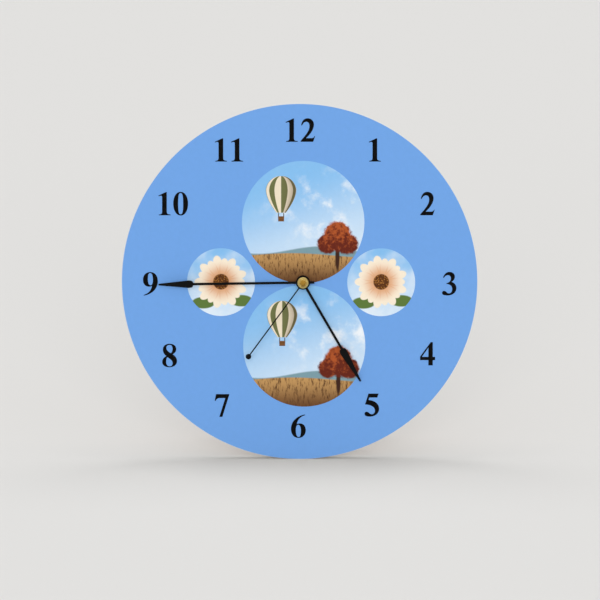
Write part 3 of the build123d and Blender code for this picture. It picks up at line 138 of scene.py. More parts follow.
def mixed(mask, under, over):
    """Colour that is under where the mask is 0, and over where it is 1."""
    # On the Mix node, colours go in at sockets 6 and 7 and come out at 2
    return add_node("ShaderNodeMix", {0: mask, 6: under, 7: over}, data_type="RGBA").outputs[2]


def noise(place, scale, detail=3.0, roughness=0.5):
    inputs = {"Vector": place, "Scale": scale, "Detail": detail, "Roughness": roughness}
    return add_node("ShaderNodeTexNoise", inputs).outputs[0]


def parts_of(vector):
    return add_node("ShaderNodeSeparateXYZ", {0: vector}).outputs


def vector_of(x, y, z):
    return add_node("ShaderNodeCombineXYZ", {0: x, 1: y, 2: z}).outputs[0]


def colour(red, green, blue):
    """Colour read off a screen, 0 to 255, as the linear colour that a shader takes."""
    shares = [value / 255 for value in (red, green, blue)]
    linear = [s / 12.92 if s <= 0.04045 else ((s + 0.055) / 1.055) ** 2.4 for s in shares]
    return (*linear, 1.0)


print("a screen's middle grey in a shader:", round(colour(128, 128, 128)[0], 3))

# %% [markdown]
# Some effects belong to many finishes: the grain of a mould, the streaks of drawn metal, the
# flecks of pressed fibre, the tooth of coated paper. Each is made once as a node group with
# named sockets, and every finish that needs it places the group with its own values.

# %% Helpers for node groups
SOCKETS = {"vector": "NodeSocketVector", "value": "NodeSocketFloat", "colour": "NodeSocketColor"}
SURFACE = {"Colour": "colour", "Roughness": "value", "Height": "value"}
DRAWING = {"Colour": "colour"}


def new_group(name, inputs, outputs):
    """Starts a node group: returns it with the sockets that come in and those that go out."""
    group = bpy.data.node_groups.new(name, "ShaderNodeTree")
    for direction, sockets in (("INPUT", inputs), ("OUTPUT", outputs)):
        for label, kind in sockets.items():
            group.interface.new_socket(label, in_out=direction, socket_type=SOCKETS[kind])
    entry = group.nodes.new("NodeGroupInput")
    way_out = group.nodes.new("NodeGroupOutput")
    return group, entry.outputs, way_out.inputs


def put_out(group, made, *surface):
    """Ties colour, roughness and height to the sockets that go out of a group."""
    for label, socket in zip(SURFACE, surface):
        group.links.new(socket, made[label])
    print("group:", group.name)


def wavering(middle, value, swing):
    """Value that swings about a middle while another runs from 0 to 1."""
    return calc("ADD", middle, scaled(value, -swing, swing))


print("a surface puts out:", ", ".join(SURFACE))

# %% [markdown]
# Moulded plastic is never quite one colour or one gloss: the tool's spark-eroded skin leaves a
# fine grain, and the melt cools in slightly uneven patches. A fine noise makes the grain and a
# slow one the patches.

# %% Moulded grain
PATCH_RATE = 60.0
PATCH_EDGES = (0.35, 0.7)
GRAIN_SWING = 0.10

moulded, given, made = new_group(
    "moulded_grain",
    {"Place": "vector", "Grain": "value", "Tint": "colour", "Patch": "colour", "Gloss": "value"},
    SURFACE,
)
fine = noise(given["Place"], given["Grain"], detail=4.0, roughness=0.65)
slow = noise(given["Place"], PATCH_RATE, detail=2.0)
patches = mixed(fade(slow, *PATCH_EDGES), given["Tint"], given["Patch"])
put_out(moulded, made, patches, wavering(given["Gloss"], fine, GRAIN_SWING), fine)

# %% [markdown]
# Drawn wire, stamped sheet and turned brass all carry fine lines in one direction. Noise that is
# stretched far along one axis gives such lines, so the group takes two scales, along and across.

# %% Drawn metal
STAIN_RATE = 90.0
STAIN_EDGES = (0.45, 0.75)
STREAK_SWING = 0.12

drawn, given, made = new_group(
    "drawn_metal",
    {
        "Place": "vector", "Along": "value", "Across": "value", "Tint": "colour", "Dull": "colour",
        "Gloss": "value",
    },
    SURFACE,
)
x, y, z = parts_of(given["Place"])
along, across = given["Along"], given["Across"]
stretched = vector_of(times(x, along), times(y, across), times(z, across))
streaks = noise(stretched, 1.0, detail=5.0, roughness=0.6)
stain = fade(noise(given["Place"], STAIN_RATE), *STAIN_EDGES)
stained = mixed(stain, given["Tint"], given["Dull"])
put_out(drawn, made, stained, wavering(given["Gloss"], streaks, STREAK_SWING), streaks)

# %% [markdown]
# Pressed fibre board, closed foam and sintered metal are all made of packed bits. Cell noise
# picks the bits out, and a second noise tints some of them lighter or darker.

# %% Packed bits
LIGHT_EDGES = (0.50, 0.68)
DARK_EDGES = (0.46, 0.33)
BIT_SWING = 0.08


def cells(place, scale):
    """Distance from the nearest of many scattered points."""
    return add_node("ShaderNodeTexVoronoi", {"Vector": place, "Scale": scale}).outputs["Distance"]


packed, given, made = new_group(
    "packed_bits",
    {
        "Place": "vector", "Bits": "value", "Tint": "colour", "Light": "colour", "Dark": "colour",
        "Gloss": "value",
    },
    SURFACE,
)
bits = cells(given["Place"], given["Bits"])
tone = noise(given["Place"], given["Bits"], detail=5.0, roughness=0.7)
lit = mixed(fade(tone, *LIGHT_EDGES), given["Tint"], given["Light"])
flecked = mixed(fade(tone, *DARK_EDGES), lit, given["Dark"])
put_out(packed, made, flecked, wavering(given["Gloss"], tone, BIT_SWING), bits)

# %% [markdown]
# The face is printed on coated sheet. Close up, the ink lies a little unevenly on the paper's
# tooth and the coating follows it. The group takes any printed colour, so the blue ground, the
# black figures and the pictures all share it.

# %% Coated print
TOOTH_RATE = 2600.0
LAY_RATE = 420.0
INK_LAY = (0.965, 1.035)
COAT_ROUGHNESS = (0.46, 0.60)

coated, given, made = new_group("coated_print", {"Place": "vector", "Ink": "colour"}, SURFACE)
tooth = noise(given["Place"], TOOTH_RATE, detail=3.0, roughness=0.6)
lay = noise(given["Place"], LAY_RATE, detail=4.0)
laid = {0: given["Ink"], 1: scaled(lay, *INK_LAY)}
inked = add_node("ShaderNodeVectorMath", laid, operation="MULTIPLY").outputs[0]
put_out(coated, made, inked, scaled(lay, *COAT_ROUGHNESS), tooth)

# %% [markdown]
# A material ties a group's outputs to the Principled shader. Values that are the same all over,
# such as how metallic a piece is, go straight onto the shader's own sockets. The dial's finishes
# need to know where on the dial they are, so a Mapping node takes the lean away.

# %% Helpers for materials


def new_material(name, constants=None):
    """New material with its node tree and its Principled shader."""
    material = bpy.data.materials.new(name)
    material.use_nodes = True
    tree = material.node_tree
    shader = tree.nodes["Principled BSDF"]
    for label, value in (constants or {}).items():
        shader.inputs[label].default_value = value
    return material, tree, shader


def object_place(tree):
    return add_node("ShaderNodeTexCoord", tree=tree).outputs["Object"]


def dial_place(tree, centre, size):
    """Place on the dial, straightened and centred, where 1 is the given size."""
    inputs = {
        "Vector": object_place(tree), "Location": centre, "Rotation": (-LEAN, 0, 0),
        "Scale": (size, size, size),
    }
    return add_node("ShaderNodeMapping", inputs, vector_type="TEXTURE").outputs[0]


def use_group(tree, group, **values):
    """Places a group, on the piece's own coordinates unless it is given others."""
    if "Place" not in values:
        values["Place"] = object_place(tree)
    return add_node("ShaderNodeGroup", values, node_tree=group).outputs


def connect(shader, surface, relief, **other):
    """Ties a surface to the shader, or other sockets for some of it; relief is in metres."""
    tint, roughness, height = (other.get(label, surface[label]) for label in SURFACE)
    bump = add_node("ShaderNodeBump", {"Height": height, "Strength": 1.0, "Distance": relief})
    links = shader.id_data.links
    links.new(tint, shader.inputs["Base Color"])
    links.new(roughness, shader.inputs["Roughness"])
    links.new(bump.outputs["Normal"], shader.inputs["Normal"])


def dress(material, *names):
    """Gives a material to solids."""
    for name in names:
        for slot in nodes[name].material_slots:
            slot.material = material
    print(material.name, "on", ", ".join(names))


# %% [markdown]
# The blue face is one flat printed colour. Only its cut edge shows that it is paper: there the
# print stops and the white core begins, so the mask is the distance from the dial's middle.
# A large blue face would also throw blue light on the floor. The photograph's shadow is a plain
# grey, so light that goes on from the face to the floor is taken from a grey in its place.

# %% Face sheet
DIAL_BLUE = colour(115, 166, 231)
PAPER_WHITE = colour(236, 234, 228)
SPILL_GREY = (0.5, 0.5, 0.5, 1.0)
CUT_EDGE = 0.9988
PRINT_SHEEN = 0.02
PRINT_RELIEF = 2e-6


def length_of(x, y):
    """Length of the way to a point x across and y up."""
    squares = [times(part, part) for part in (x, y)]
    return calc("SQRT", calc("ADD", *squares))


def distance_from_middle(place):
    x, _, z = parts_of(place)
    return length_of(x, z)


def new_print(name):
    return new_material(name, {"Specular IOR Level": PRINT_SHEEN})


def lay_ink(tree, shader, ink):
    """Prints a colour on the coated sheet."""
    connect(shader, use_group(tree, coated, Ink=ink), PRINT_RELIEF)


face, tree, shader = new_print("face_print")
from_middle = distance_from_middle(dial_place(tree, DIAL_MIDDLE, DIAL_RADIUS))
cut = fade(from_middle, CUT_EDGE, 1.0)
ink = mixed(cut, DIAL_BLUE, PAPER_WHITE)
spill = add_node("ShaderNodeLightPath", tree=tree).outputs["Is Diffuse Ray"]
lay_ink(tree, shader, mixed(spill, ink, SPILL_GREY))
dress(face, "face_sheet")

# %% [markdown]
# The figures are solid black print. Black ink on a coated sheet still shows a little brown where
# it lies thin, so two near blacks are mixed by a slow noise.

# %% Hour figures
INK_BLACK = colour(10, 10, 10)
INK_THIN = colour(24, 22, 21)
THIN_RATE = 700.0
THIN_EDGES = (0.45, 0.75)

figures, tree, shader = new_print("figure_ink")
thin = noise(object_place(tree), THIN_RATE, detail=5.0)
lay_ink(tree, shader, mixed(fade(thin, *THIN_EDGES), INK_BLACK, INK_THIN))
dress(figures, "hour_numerals")

# %% [markdown]
# The large windows hold a printed view: open sky, far hills, a ripe field, a tree in autumn leaf
# and a balloon. It could be a picture file, but a drawing made of nodes stays sharp at any size
# and needs no file. Each thing in it is a mask over x and y, which run from -1 to 1 across the
# window, and the masks are laid over each other from the sky forwards.

# %% Helpers for drawing with masks


def within(value, limit, soft):
    """Mask of where a value is under a limit, with a soft edge."""
    return fade(value, limit + soft, limit - soft)


def blob(x, y, centre, size, soft, ragged=0.0):
    """Soft-edged ellipse; ragged adds a wavering value to its edge."""
    across = calc("DIVIDE", calc("SUBTRACT", x, centre[0]), size[0])
    along = calc("DIVIDE", calc("SUBTRACT", y, centre[1]), size[1])
    edge = calc("ADD", length_of(across, along), ragged)
    return within(edge, 1.0, soft)


def wavy(x, height, swing, rate, start):
    """Height of a wavy line at x."""
    turn = calc("ADD", times(x, rate), start)
    return calc("ADD", times(calc("SINE", turn), swing), height)


def below(y, line, soft):
    """Mask of what lies under a line."""
    return within(calc("SUBTRACT", y, line), 0.0, soft)


def either(first, second):
    return calc("MAXIMUM", first, second)


print("shapes to draw with: blob, wavy line, and what lies below it")

# %% [markdown]
# The sky fades from a pale horizon to a fuller blue, a little aslant. Its clouds are noise, kept
# to one bank by a large soft blob. Drift slides them along, so that the two windows differ.

# %% The sky with its clouds
SKY_HIGH = colour(136, 192, 240)
SKY_LOW = colour(208, 229, 248)
SKY_SLANT = 0.35
SKY_EDGES = (-0.75, 0.85)
CLOUD = colour(246, 249, 252)
CLOUD_RATE = 2.6
CLOUD_EDGES = (0.47, 0.72)
CLOUD_BANK = {"centre": (0.45, 0.22), "size": (0.85, 0.55), "soft": 0.7}

view, given, made = new_group("country_view", {"Place": "vector", "Drift": "value"}, DRAWING)
x, _, y = parts_of(given["Place"])
height = calc("SUBTRACT", y, times(x, SKY_SLANT))
picture = mixed(fade(height, *SKY_EDGES), SKY_LOW, SKY_HIGH)
flat_place = vector_of(calc("ADD", x, given["Drift"]), y, given["Drift"])
billows = noise(flat_place, CLOUD_RATE, detail=6.0, roughness=0.58)
clouds = times(fade(billows, *CLOUD_EDGES), blob(x, y, **CLOUD_BANK))
picture = mixed(clouds, picture, CLOUD)
print("sky drawn in", len(view.nodes), "nodes")

# %% [markdown]
# Hills and field lie below two wavy lines. The stalks are noise that is pressed together
# sideways, so that its spots become upright strokes.

# %% The hills and the field
HILL = colour(126, 158, 168)
HILL_LINE = {"height": -0.46, "swing": 0.06, "rate": 3.1, "start": 0.7}
HILL_SOFT = 0.015
FIELD_FAR = colour(196, 152, 96)
FIELD_NEAR = colour(112, 76, 48)
FIELD_EDGES = (-0.5, -1.0)
FIELD_LINE = {"height": -0.55, "swing": 0.04, "rate": 2.2, "start": 2.0}
FIELD_SOFT = 0.01
STALK = colour(88, 58, 38)
STALK_PRESS = (9.0, 2.0)
STALK_RATE = 4.0
STALK_EDGES = (0.48, 0.66)

hills = below(y, wavy(x, **HILL_LINE), HILL_SOFT)
picture = mixed(hills, picture, HILL)
ripe = mixed(fade(y, *FIELD_EDGES), FIELD_FAR, FIELD_NEAR)
pressed = [times(part, press) for part, press in zip((x, y), STALK_PRESS)]
stalk_place = vector_of(*pressed, given["Drift"])
stalks = noise(stalk_place, STALK_RATE, detail=6.0, roughness=0.7)
ripe = mixed(fade(stalks, *STALK_EDGES), ripe, STALK)
field = below(y, wavy(x, **FIELD_LINE), FIELD_SOFT)
picture = mixed(field, picture, ripe)
print("hills and field drawn in", len(view.nodes), "nodes")

# %% [markdown]
# The tree's crown is three blobs whose edges are frayed by the same noise that colours the
# leaves. Leaves higher up catch more light, so the height is added before the colour is chosen.

# %% The tree in autumn leaf
TRUNK_BROWN = colour(66, 42, 32)
TRUNK = {"centre": (0.56, -0.58), "size": (0.035, 0.22), "soft": 0.3}
LEAF_DARK = colour(104, 42, 30)
LEAF_LIT = colour(178, 88, 46)
LEAF_RATE = 15.0
LEAF_EDGES = (0.42, 0.66)
LEAF_LIGHT = 0.5
CROWN_BASE = 0.3
CROWN_FRAY = 0.28
CROWN_TOP = {"centre": (0.56, -0.24), "size": (0.23, 0.25), "soft": 0.10}
CROWN_LEFT = {"centre": (0.40, -0.36), "size": (0.17, 0.16), "soft": 0.12}
CROWN_RIGHT = {"centre": (0.72, -0.36), "size": (0.18, 0.17), "soft": 0.12}

leaves = noise(flat_place, LEAF_RATE, detail=5.0, roughness=0.7)
fray = scaled(leaves, -CROWN_FRAY, CROWN_FRAY)
crown = blob(x, y, **CROWN_TOP, ragged=fray)
for side in (CROWN_LEFT, CROWN_RIGHT):
    crown = either(crown, blob(x, y, **side, ragged=fray))
picture = mixed(blob(x, y, **TRUNK), picture, TRUNK_BROWN)
light = times(calc("ADD", y, CROWN_BASE), LEAF_LIGHT)
sunny = fade(calc("ADD", leaves, light), *LEAF_EDGES)
picture = mixed(crown, picture, mixed(sunny, LEAF_DARK, LEAF_LIT))
print("tree drawn in", len(view.nodes), "nodes")

# %% [markdown]
# A balloon's envelope is sewn from gores. A round top and a soft taper give its half width at each
# height. The way across, as a share of that width, then gives the outline, the gores, which crowd
# together at the sides as on a ball, and the shade.

# %% The balloon's envelope
CANVAS_PALE = colour(240, 226, 200)
CANVAS_OLIVE = colour(112, 116, 74)
CANVAS_SHADE = colour(96, 74, 58)
BALLOON_AT = (-0.36, 0.50)
BALLOON_RADIUS = 0.25
BALLOON_GORES = 7.0
BALLOON_TAPER = (-1.75, 0.15)
BALLOON_MOUTH = 1.40
MOUTH_SOFT = 0.02
TOP_EDGES = (0.998, 0.98)
SIDE_SOFT = 0.03
GORE_EDGES = (-0.15, 0.15)
SHADE_EDGES = (0.0, 1.1)
SHADE_MOST = 0.6
LEAST_WIDTH = 0.001

off_middle = calc("SUBTRACT", x, BALLOON_AT[0])
over = calc("DIVIDE", calc("SUBTRACT", y, BALLOON_AT[1]), BALLOON_RADIUS)
taper = calc("SQRT", fade(over, *BALLOON_TAPER))
rise = calc("POWER", calc("MAXIMUM", over, 0.0), 2.0)
top = calc("SQRT", calc("MAXIMUM", calc("SUBTRACT", 1.0, rise), 0.0))
width = times(times(taper, BALLOON_RADIUS), top)
share = calc("DIVIDE", off_middle, calc("MAXIMUM", width, LEAST_WIDTH))
envelope = within(calc("ABSOLUTE", share), 1.0, SIDE_SOFT)
above_mouth = fade(over, -BALLOON_MOUTH - MOUTH_SOFT, -BALLOON_MOUTH + MOUTH_SOFT)
envelope = times(times(envelope, above_mouth), fade(over, *TOP_EDGES))
round_turn = times(calc("ARCSINE", share), BALLOON_GORES)
gores = fade(calc("SINE", round_turn), *GORE_EDGES)
canvas = mixed(gores, CANVAS_PALE, CANVAS_OLIVE)
shade = times(fade(share, *SHADE_EDGES), SHADE_MOST)
picture = mixed(envelope, picture, mixed(shade, canvas, CANVAS_SHADE))
print("envelope drawn in", len(view.nodes), "nodes")

# %% [markdown]
# Two ropes hold a small wicker basket. A rope is drawn at a distance from the balloon's middle
# line, and so appears on both sides.

# %% The balloon's basket
WICKER = colour(96, 62, 36)
WICKER_LIGHT = colour(140, 96, 58)
WEAVE_RATE = 260.0
WEAVE_EDGES = (-0.3, 0.3)
BASKET_DROP = 1.80
BASKET_HALF = (0.048, 0.042)
BASKET_SOFT = 0.004
ROPE = colour(84, 72, 62)
ROPE_OFF = 0.042
ROPE_HALF = 0.007
ROPE_SOFT = 0.003
ROPE_END = 0.01


def away(value, middle):
    """How far a value is from a middle one."""
    return calc("ABSOLUTE", calc("SUBTRACT", value, middle))


mouth = BALLOON_AT[1] - BALLOON_MOUTH * BALLOON_RADIUS
basket_up = BALLOON_AT[1] - BASKET_DROP * BALLOON_RADIUS
across = calc("ABSOLUTE", off_middle)
rope = within(away(across, ROPE_OFF), ROPE_HALF, ROPE_SOFT)
under_mouth = fade(y, mouth, mouth - ROPE_END)
over_basket = fade(y, basket_up, basket_up + ROPE_END)
picture = mixed(times(rope, times(under_mouth, over_basket)), picture, ROPE)
basket = times(
    within(across, BASKET_HALF[0], BASKET_SOFT),
    within(away(y, basket_up), BASKET_HALF[1], BASKET_SOFT),
)
weave = calc("SINE", times(y, WEAVE_RATE))
wicker = mixed(fade(weave, *WEAVE_EDGES), WICKER, WICKER_LIGHT)
view.links.new(mixed(basket, picture, wicker), made["Colour"])
print("whole view drawn in", len(view.nodes), "nodes")

# %% [markdown]
# The small windows hold a flower against the sky. First come the hazy sky and two green leaves,
# drawn with the same shapes as the large view.

# %% The flower's sky and leaves
FLOWER_SKY_EDGES = (-0.9, 0.9)
HAZE_RATE = 1.6
HAZE_EDGES = (0.35, 0.75)
HAZE_MOST = 0.45
LEAF_GREEN = colour(96, 122, 62)
LEAF_PLACES = ((-0.52, -0.62), (0.60, -0.56))
LEAF_SIZE = (0.34, 0.17)
LEAF_SOFT = 0.10

flower, given, made = new_group("flower_view", {"Place": "vector"}, DRAWING)
x, _, y = parts_of(given["Place"])
picture = mixed(fade(y, *FLOWER_SKY_EDGES), SKY_LOW, SKY_HIGH)
haze = fade(noise(given["Place"], HAZE_RATE, detail=2.0), *HAZE_EDGES)
picture = mixed(times(haze, HAZE_MOST), picture, CLOUD)
for centre in LEAF_PLACES:
    picture = mixed(blob(x, y, centre, LEAF_SIZE, LEAF_SOFT), picture, LEAF_GREEN)
print("sky and leaves drawn in", len(flower.nodes), "nodes")

# %% [markdown]
# Petals repeat round a middle, so they are drawn in polar terms: the outline's radius swings with
# the angle, and two rings of petals, the second turned by half a petal, give the flower its depth.
# The seeds in the middle are cell noise.

# %% The flower's petals and seeds
PETALS = 9.0
PETAL_PALE = colour(250, 236, 214)
PETAL_PEACH = colour(226, 168, 124)
PETAL_LENGTHS = (0.78, 0.70)
PETAL_ROUNDNESS = 0.45
PETAL_SOFT = 0.015
PEACH_EDGES = (0.65, 0.18)
FOLD_EDGES = (0.86, 0.55)
FOLD_MOST = 0.7
SEED_BROWN = colour(92, 54, 30)
SEED_GOLD = colour(170, 112, 52)
SEED_RATE = 22.0
SEED_EDGES = (0.2, 0.55)
SEED_RADIUS = 0.23
SEED_SOFT = 0.015

radius = length_of(x, y)
angle = calc("ARCTAN2", y, x)


def petal_ring(under, turn, length):
    """Lays one ring of petals over the picture."""
    turned = calc("ADD", times(angle, PETALS / 2), turn)
    swing = calc("POWER", calc("ABSOLUTE", calc("COSINE", turned)), PETAL_ROUNDNESS)
    ring = below(radius, times(swing, length), PETAL_SOFT)
    cream = mixed(fade(radius, *PEACH_EDGES), PETAL_PALE, PETAL_PEACH)
    fold = times(fade(swing, *FOLD_EDGES), FOLD_MOST)
    return mixed(ring, under, mixed(fold, cream, PETAL_PEACH))


for turn, length in zip((math.pi / 2, 0.0), PETAL_LENGTHS):
    picture = petal_ring(picture, turn, length)
seeds = fade(cells(given["Place"], SEED_RATE), *SEED_EDGES)
seed_colour = mixed(seeds, SEED_GOLD, SEED_BROWN)
seed_disc = within(radius, SEED_RADIUS, SEED_SOFT)
flower.links.new(mixed(seed_disc, picture, seed_colour), made["Colour"])
print("flower drawn in", len(flower.nodes), "nodes")

# %% [markdown]
# Each window is a thin printed disc in the CAD model. Its leftmost and rightmost points give its
# middle and its radius, and the Mapping node turns the lean away, so that the drawing fits.

# %% Picture windows
LOWER_DRIFT = 0.35


def window_place(name):
    """Middle and radius of a round window, from its leftmost and rightmost points."""
    points = [vertex.co.copy() for vertex in nodes[name].data.vertices]
    points.sort(key=lambda point: point.x)
    return (points[0] + points[-1]) / 2, (points[-1].x - points[0].x) / 2


def dress_window(name, drawing, **values):
    """Prints a drawing on a window."""
    material, tree, shader = new_print(name + "_print")
    place = dial_place(tree, *window_place(name))
    lay_ink(tree, shader, use_group(tree, drawing, Place=place, **values)["Colour"])
    dress(material, name)


dress_window("picture_top", view, Drift=0.0)
dress_window("picture_bottom", view, Drift=LOWER_DRIFT)
dress_window("picture_left", flower)
dress_window("picture_right", flower)

# %% [markdown]
# The hands are thin stamped sheet under satin black lacquer. Sprayed lacquer has a faint orange
# peel, which is the moulded grain at a larger scale with very little relief.

# %% Hands
LACQUER = colour(9, 9, 9)
LACQUER_PATCH = colour(15, 14, 14)
LACQUER_SHEEN = {"Specular IOR Level": 0.03}


def plastic(name, tint, patch, grain, gloss, relief, constants=None):
    """Moulded plastic or lacquer in two near tints."""
    material, tree, shader = new_material(name, constants)
    surface = use_group(tree, moulded, Grain=grain, Tint=tint, Patch=patch, Gloss=gloss)
    connect(shader, surface, relief)
    return material


hands = plastic(
    "hand_lacquer", LACQUER, LACQUER_PATCH, grain=1500.0, gloss=0.42, relief=3e-6,
    constants=LACQUER_SHEEN,
)
dress(hands, "hour_hand", "minute_hand", "second_hand")

# %% [markdown]
# The cap on the shaft and the tubes behind it are turned brass. Turning leaves rings round the
# shaft, so the streaks follow the distance from the axis in place of a straight direction. The
# cap's colour is painted reflection: a dark gold in the middle of the dome and a painted highlight,
# bright, round its shoulder and on the tubes.

# %% Turned brass
# Painted reflection: a dark gold for the dome's middle, and a painted highlight for its shoulder
BRASS_PAINTED_DARK_REFLECTION = colour(98, 73, 23)
BRASS_PAINTED_HIGHLIGHT = colour(214, 192, 122)
BRASS_DULL = colour(150, 118, 56)
CAP_RADIUS = reach("second_hand_cap", RIGHT, HUB)[1]
REFLECTION_WAVER_RATE = 1500.0
REFLECTION_WAVER_SWING = 0.25
PAINTED_HIGHLIGHT_EDGES = (0.42, 0.95)

brass, tree, shader = new_material("turned_brass", {"Metallic": 1.0})
from_axis = distance_from_middle(dial_place(tree, HUB, CAP_RADIUS))
# Noise wavers the edge between the painted dark reflection and the painted highlight
reflection_waver = noise(object_place(tree), REFLECTION_WAVER_RATE, detail=2.0)
uneven = wavering(from_axis, reflection_waver, REFLECTION_WAVER_SWING)
# Painted reflection and painted highlight, chosen by distance from the shaft
painted_reflection = mixed(fade(uneven, *PAINTED_HIGHLIGHT_EDGES), BRASS_PAINTED_DARK_REFLECTION, BRASS_PAINTED_HIGHLIGHT)
rings = use_group(
    tree, drawn, Place=vector_of(0.0, from_axis, 0.0), Along=1.0, Across=28.0, Tint=painted_reflection,
    Dull=BRASS_DULL, Gloss=0.40,
)
connect(shader, rings, relief=3e-6)
dress(brass, "second_hand_cap", "second_hand_bush", "minute_cannon")

# %% [markdown]
# The movement's case, the leg's brackets, the loop and the knob are black moulded plastic with a
# fine spark finish. The knob is handled, so it is a little smoother.

# %% Black mouldings
CASE_BLACK = colour(36, 36, 37)
CASE_PATCH = colour(44, 44, 45)

case_black = plastic("case_black", CASE_BLACK, CASE_PATCH, grain=2400.0, gloss=0.55, relief=1.6e-5)
knob_black = plastic("knob_black", CASE_BLACK, CASE_PATCH, grain=3000.0, gloss=0.42, relief=6e-6)
dress(case_black, "front_case", "rear_cover", "leg_bracket_left", "leg_bracket_right", "hanger")
dress(knob_black, "setting_knob")

# %% [markdown]
# The wheels are natural white plastic, and the plate and the bobbin a warmer one. They are out of
# sight behind the cover, and get a finish too, because someone may open the model.

# %% Wheels and plate
GEAR_WHITE = colour(232, 230, 222)
GEAR_PATCH = colour(222, 219, 208)
PLATE_BEIGE = colour(196, 190, 174)
PLATE_PATCH = colour(184, 177, 160)

gear_white = plastic("gear_white", GEAR_WHITE, GEAR_PATCH, grain=2800.0, gloss=0.45, relief=4e-6)
plate_beige = plastic(
    "plate_beige", PLATE_BEIGE, PLATE_PATCH, grain=2200.0, gloss=0.55, relief=1e-5
)
dress(
    gear_white, "hour_wheel", "centre_wheel", "third_wheel", "second_wheel", "intermediate_wheel",
    "rotor_pinion", "motion_wheel",
)
dress(plate_beige, "middle_plate", "coil_bobbin")

# %% [markdown]
# The feet are soft black rubber sleeves: almost no gloss, a coarse skin and a bloom of grey. The
# same moulded grain gives all three, with a larger grain and a paler second tint.

# %% Rubber feet
RUBBER = colour(34, 34, 35)
RUBBER_BLOOM = colour(52, 52, 54)

rubber = plastic("foot_rubber", RUBBER, RUBBER_BLOOM, grain=1300.0, gloss=0.80, relief=2e-5)
dress(rubber, "leg_feet")

# %% [markdown]
# Steel is one metal with several finishes here: bright drawn wire for the leg, zinc-plated
# screws, soft iron for the motor, nickel on the contacts and a drawn can round the crystal.

# %% Steel
STEEL = colour(190, 191, 193)
STEEL_DULL = colour(160, 161, 164)
ZINC = colour(202, 204, 206)
ZINC_DULL = colour(176, 178, 170)
IRON = colour(150, 150, 152)
IRON_DULL = colour(118, 116, 114)
NICKEL = colour(206, 202, 192)
NICKEL_DULL = colour(180, 174, 160)


def metal(name, tint, dull, along, across, gloss, relief):
    """Bare or plated metal with streaks along x."""
    material, tree, shader = new_material(name, {"Metallic": 1.0})
    streaked = use_group(tree, drawn, Along=along, Across=across, Tint=tint, Dull=dull, Gloss=gloss)
    connect(shader, streaked, relief)
    return material


wire = metal("wire_steel", STEEL, STEEL_DULL, along=300.0, across=2600.0, gloss=0.32, relief=4e-6)
zinc = metal("screw_zinc", ZINC, ZINC_DULL, along=1800.0, across=1800.0, gloss=0.34, relief=4e-6)
iron = metal("soft_iron", IRON, IRON_DULL, along=200.0, across=2200.0, gloss=0.45, relief=4e-6)
nickel = metal(
    "contact_nickel", NICKEL, NICKEL_DULL, along=200.0, across=2600.0, gloss=0.28, relief=3e-6
)
can = metal("crystal_can", ZINC, ZINC_DULL, along=200.0, across=3000.0, gloss=0.22, relief=2e-6)
dress(wire, "wire_leg")
dress(zinc, "bracket_screws", "movement_screws", "cover_screws")
dress(iron, "stator", "coil_core")
dress(nickel, "battery_contact_minus", "battery_contact_plus", "clutch_spring")
dress(can, "quartz_crystal")

# %% [markdown]
# The board is pressed fibre. Its back is raw: brown, flecked with lighter and darker fibres. Its
# rim is sealed with a pale coat, which is what shows as the thin light edge round the blue.

# %% Fibre board
FIBRE = colour(150, 116, 80)
FIBRE_LIGHT = colour(182, 148, 108)
FIBRE_DARK = colour(108, 80, 54)
RIM_COAT = colour(230, 229, 226)
RIM_START = 0.9925
RIM_FADE = 0.004

board, tree, shader = new_material("fibre_board", {"Specular IOR Level": 0.25})
fibres = use_group(
    tree, packed, Bits=900.0, Tint=FIBRE, Light=FIBRE_LIGHT, Dark=FIBRE_DARK, Gloss=0.78
)
from_middle = distance_from_middle(dial_place(tree, DIAL_MIDDLE, DIAL_RADIUS))
sealed = fade(from_middle, RIM_START, RIM_START + RIM_FADE)
coloured = mixed(sealed, fibres["Colour"], RIM_COAT)
connect(shader, fibres, relief=1.5e-5, Colour=coloured)
dress(board, "dial_board")

# %% [markdown]
# The rotor's magnet is sintered: powder pressed and baked until it holds. That is packed bits
# again, in dark grey and with some metal.

# %% Rotor magnet
SINTER = colour(70, 70, 73)
SINTER_LIGHT = colour(104, 104, 108)
SINTER_DARK = colour(48, 48, 50)

magnet, tree, shader = new_material("sintered_magnet", {"Metallic": 0.7})
powder = use_group(
    tree, packed, Bits=3500.0, Tint=SINTER, Light=SINTER_LIGHT, Dark=SINTER_DARK, Gloss=0.5
)
connect(shader, powder, relief=4e-6)
dress(magnet, "rotor_magnet")

# %% [markdown]
# The coil is hundreds of turns of enamelled copper wire. A wave along the bobbin gives each turn
# its round back, and the drawn-metal group the enamel's uneven gloss.

# %% Coil winding
COPPER = colour(196, 112, 62)
COPPER_DULL = colour(150, 76, 40)
TURN_PITCH = 0.12 * MM

winding, tree, shader = new_material("coil_copper", {"Metallic": 1.0})
enamel = use_group(
    tree, drawn, Along=4000.0, Across=300.0, Tint=COPPER, Dull=COPPER_DULL, Gloss=0.3
)
x, _, _ = parts_of(object_place(tree))
wave = calc("SINE", times(x, math.pi / TURN_PITCH))
turns = calc("ABSOLUTE", wave)
connect(shader, enamel, relief=TURN_PITCH / 2, Height=turns)
dress(winding, "coil_winding")

# %% [markdown]
# The circuit is a brown phenolic board with copper tracks under a thin varnish, and a blob of
# black resin over the chip. The tracks run square, so a brick-like grid serves as their mask.

# %% Circuit
PHENOLIC = colour(150, 98, 52)
PHENOLIC_PATCH = colour(136, 86, 44)
VARNISH = {"Coat Weight": 0.3, "Coat Roughness": 0.2}
TRACK = colour(196, 142, 78)
TRACKS = {"Scale": 120.0, "Mortar Size": 0.05, "Mortar Smooth": 0.1}
RESIN = colour(20, 20, 21)
RESIN_PATCH = colour(30, 30, 31)

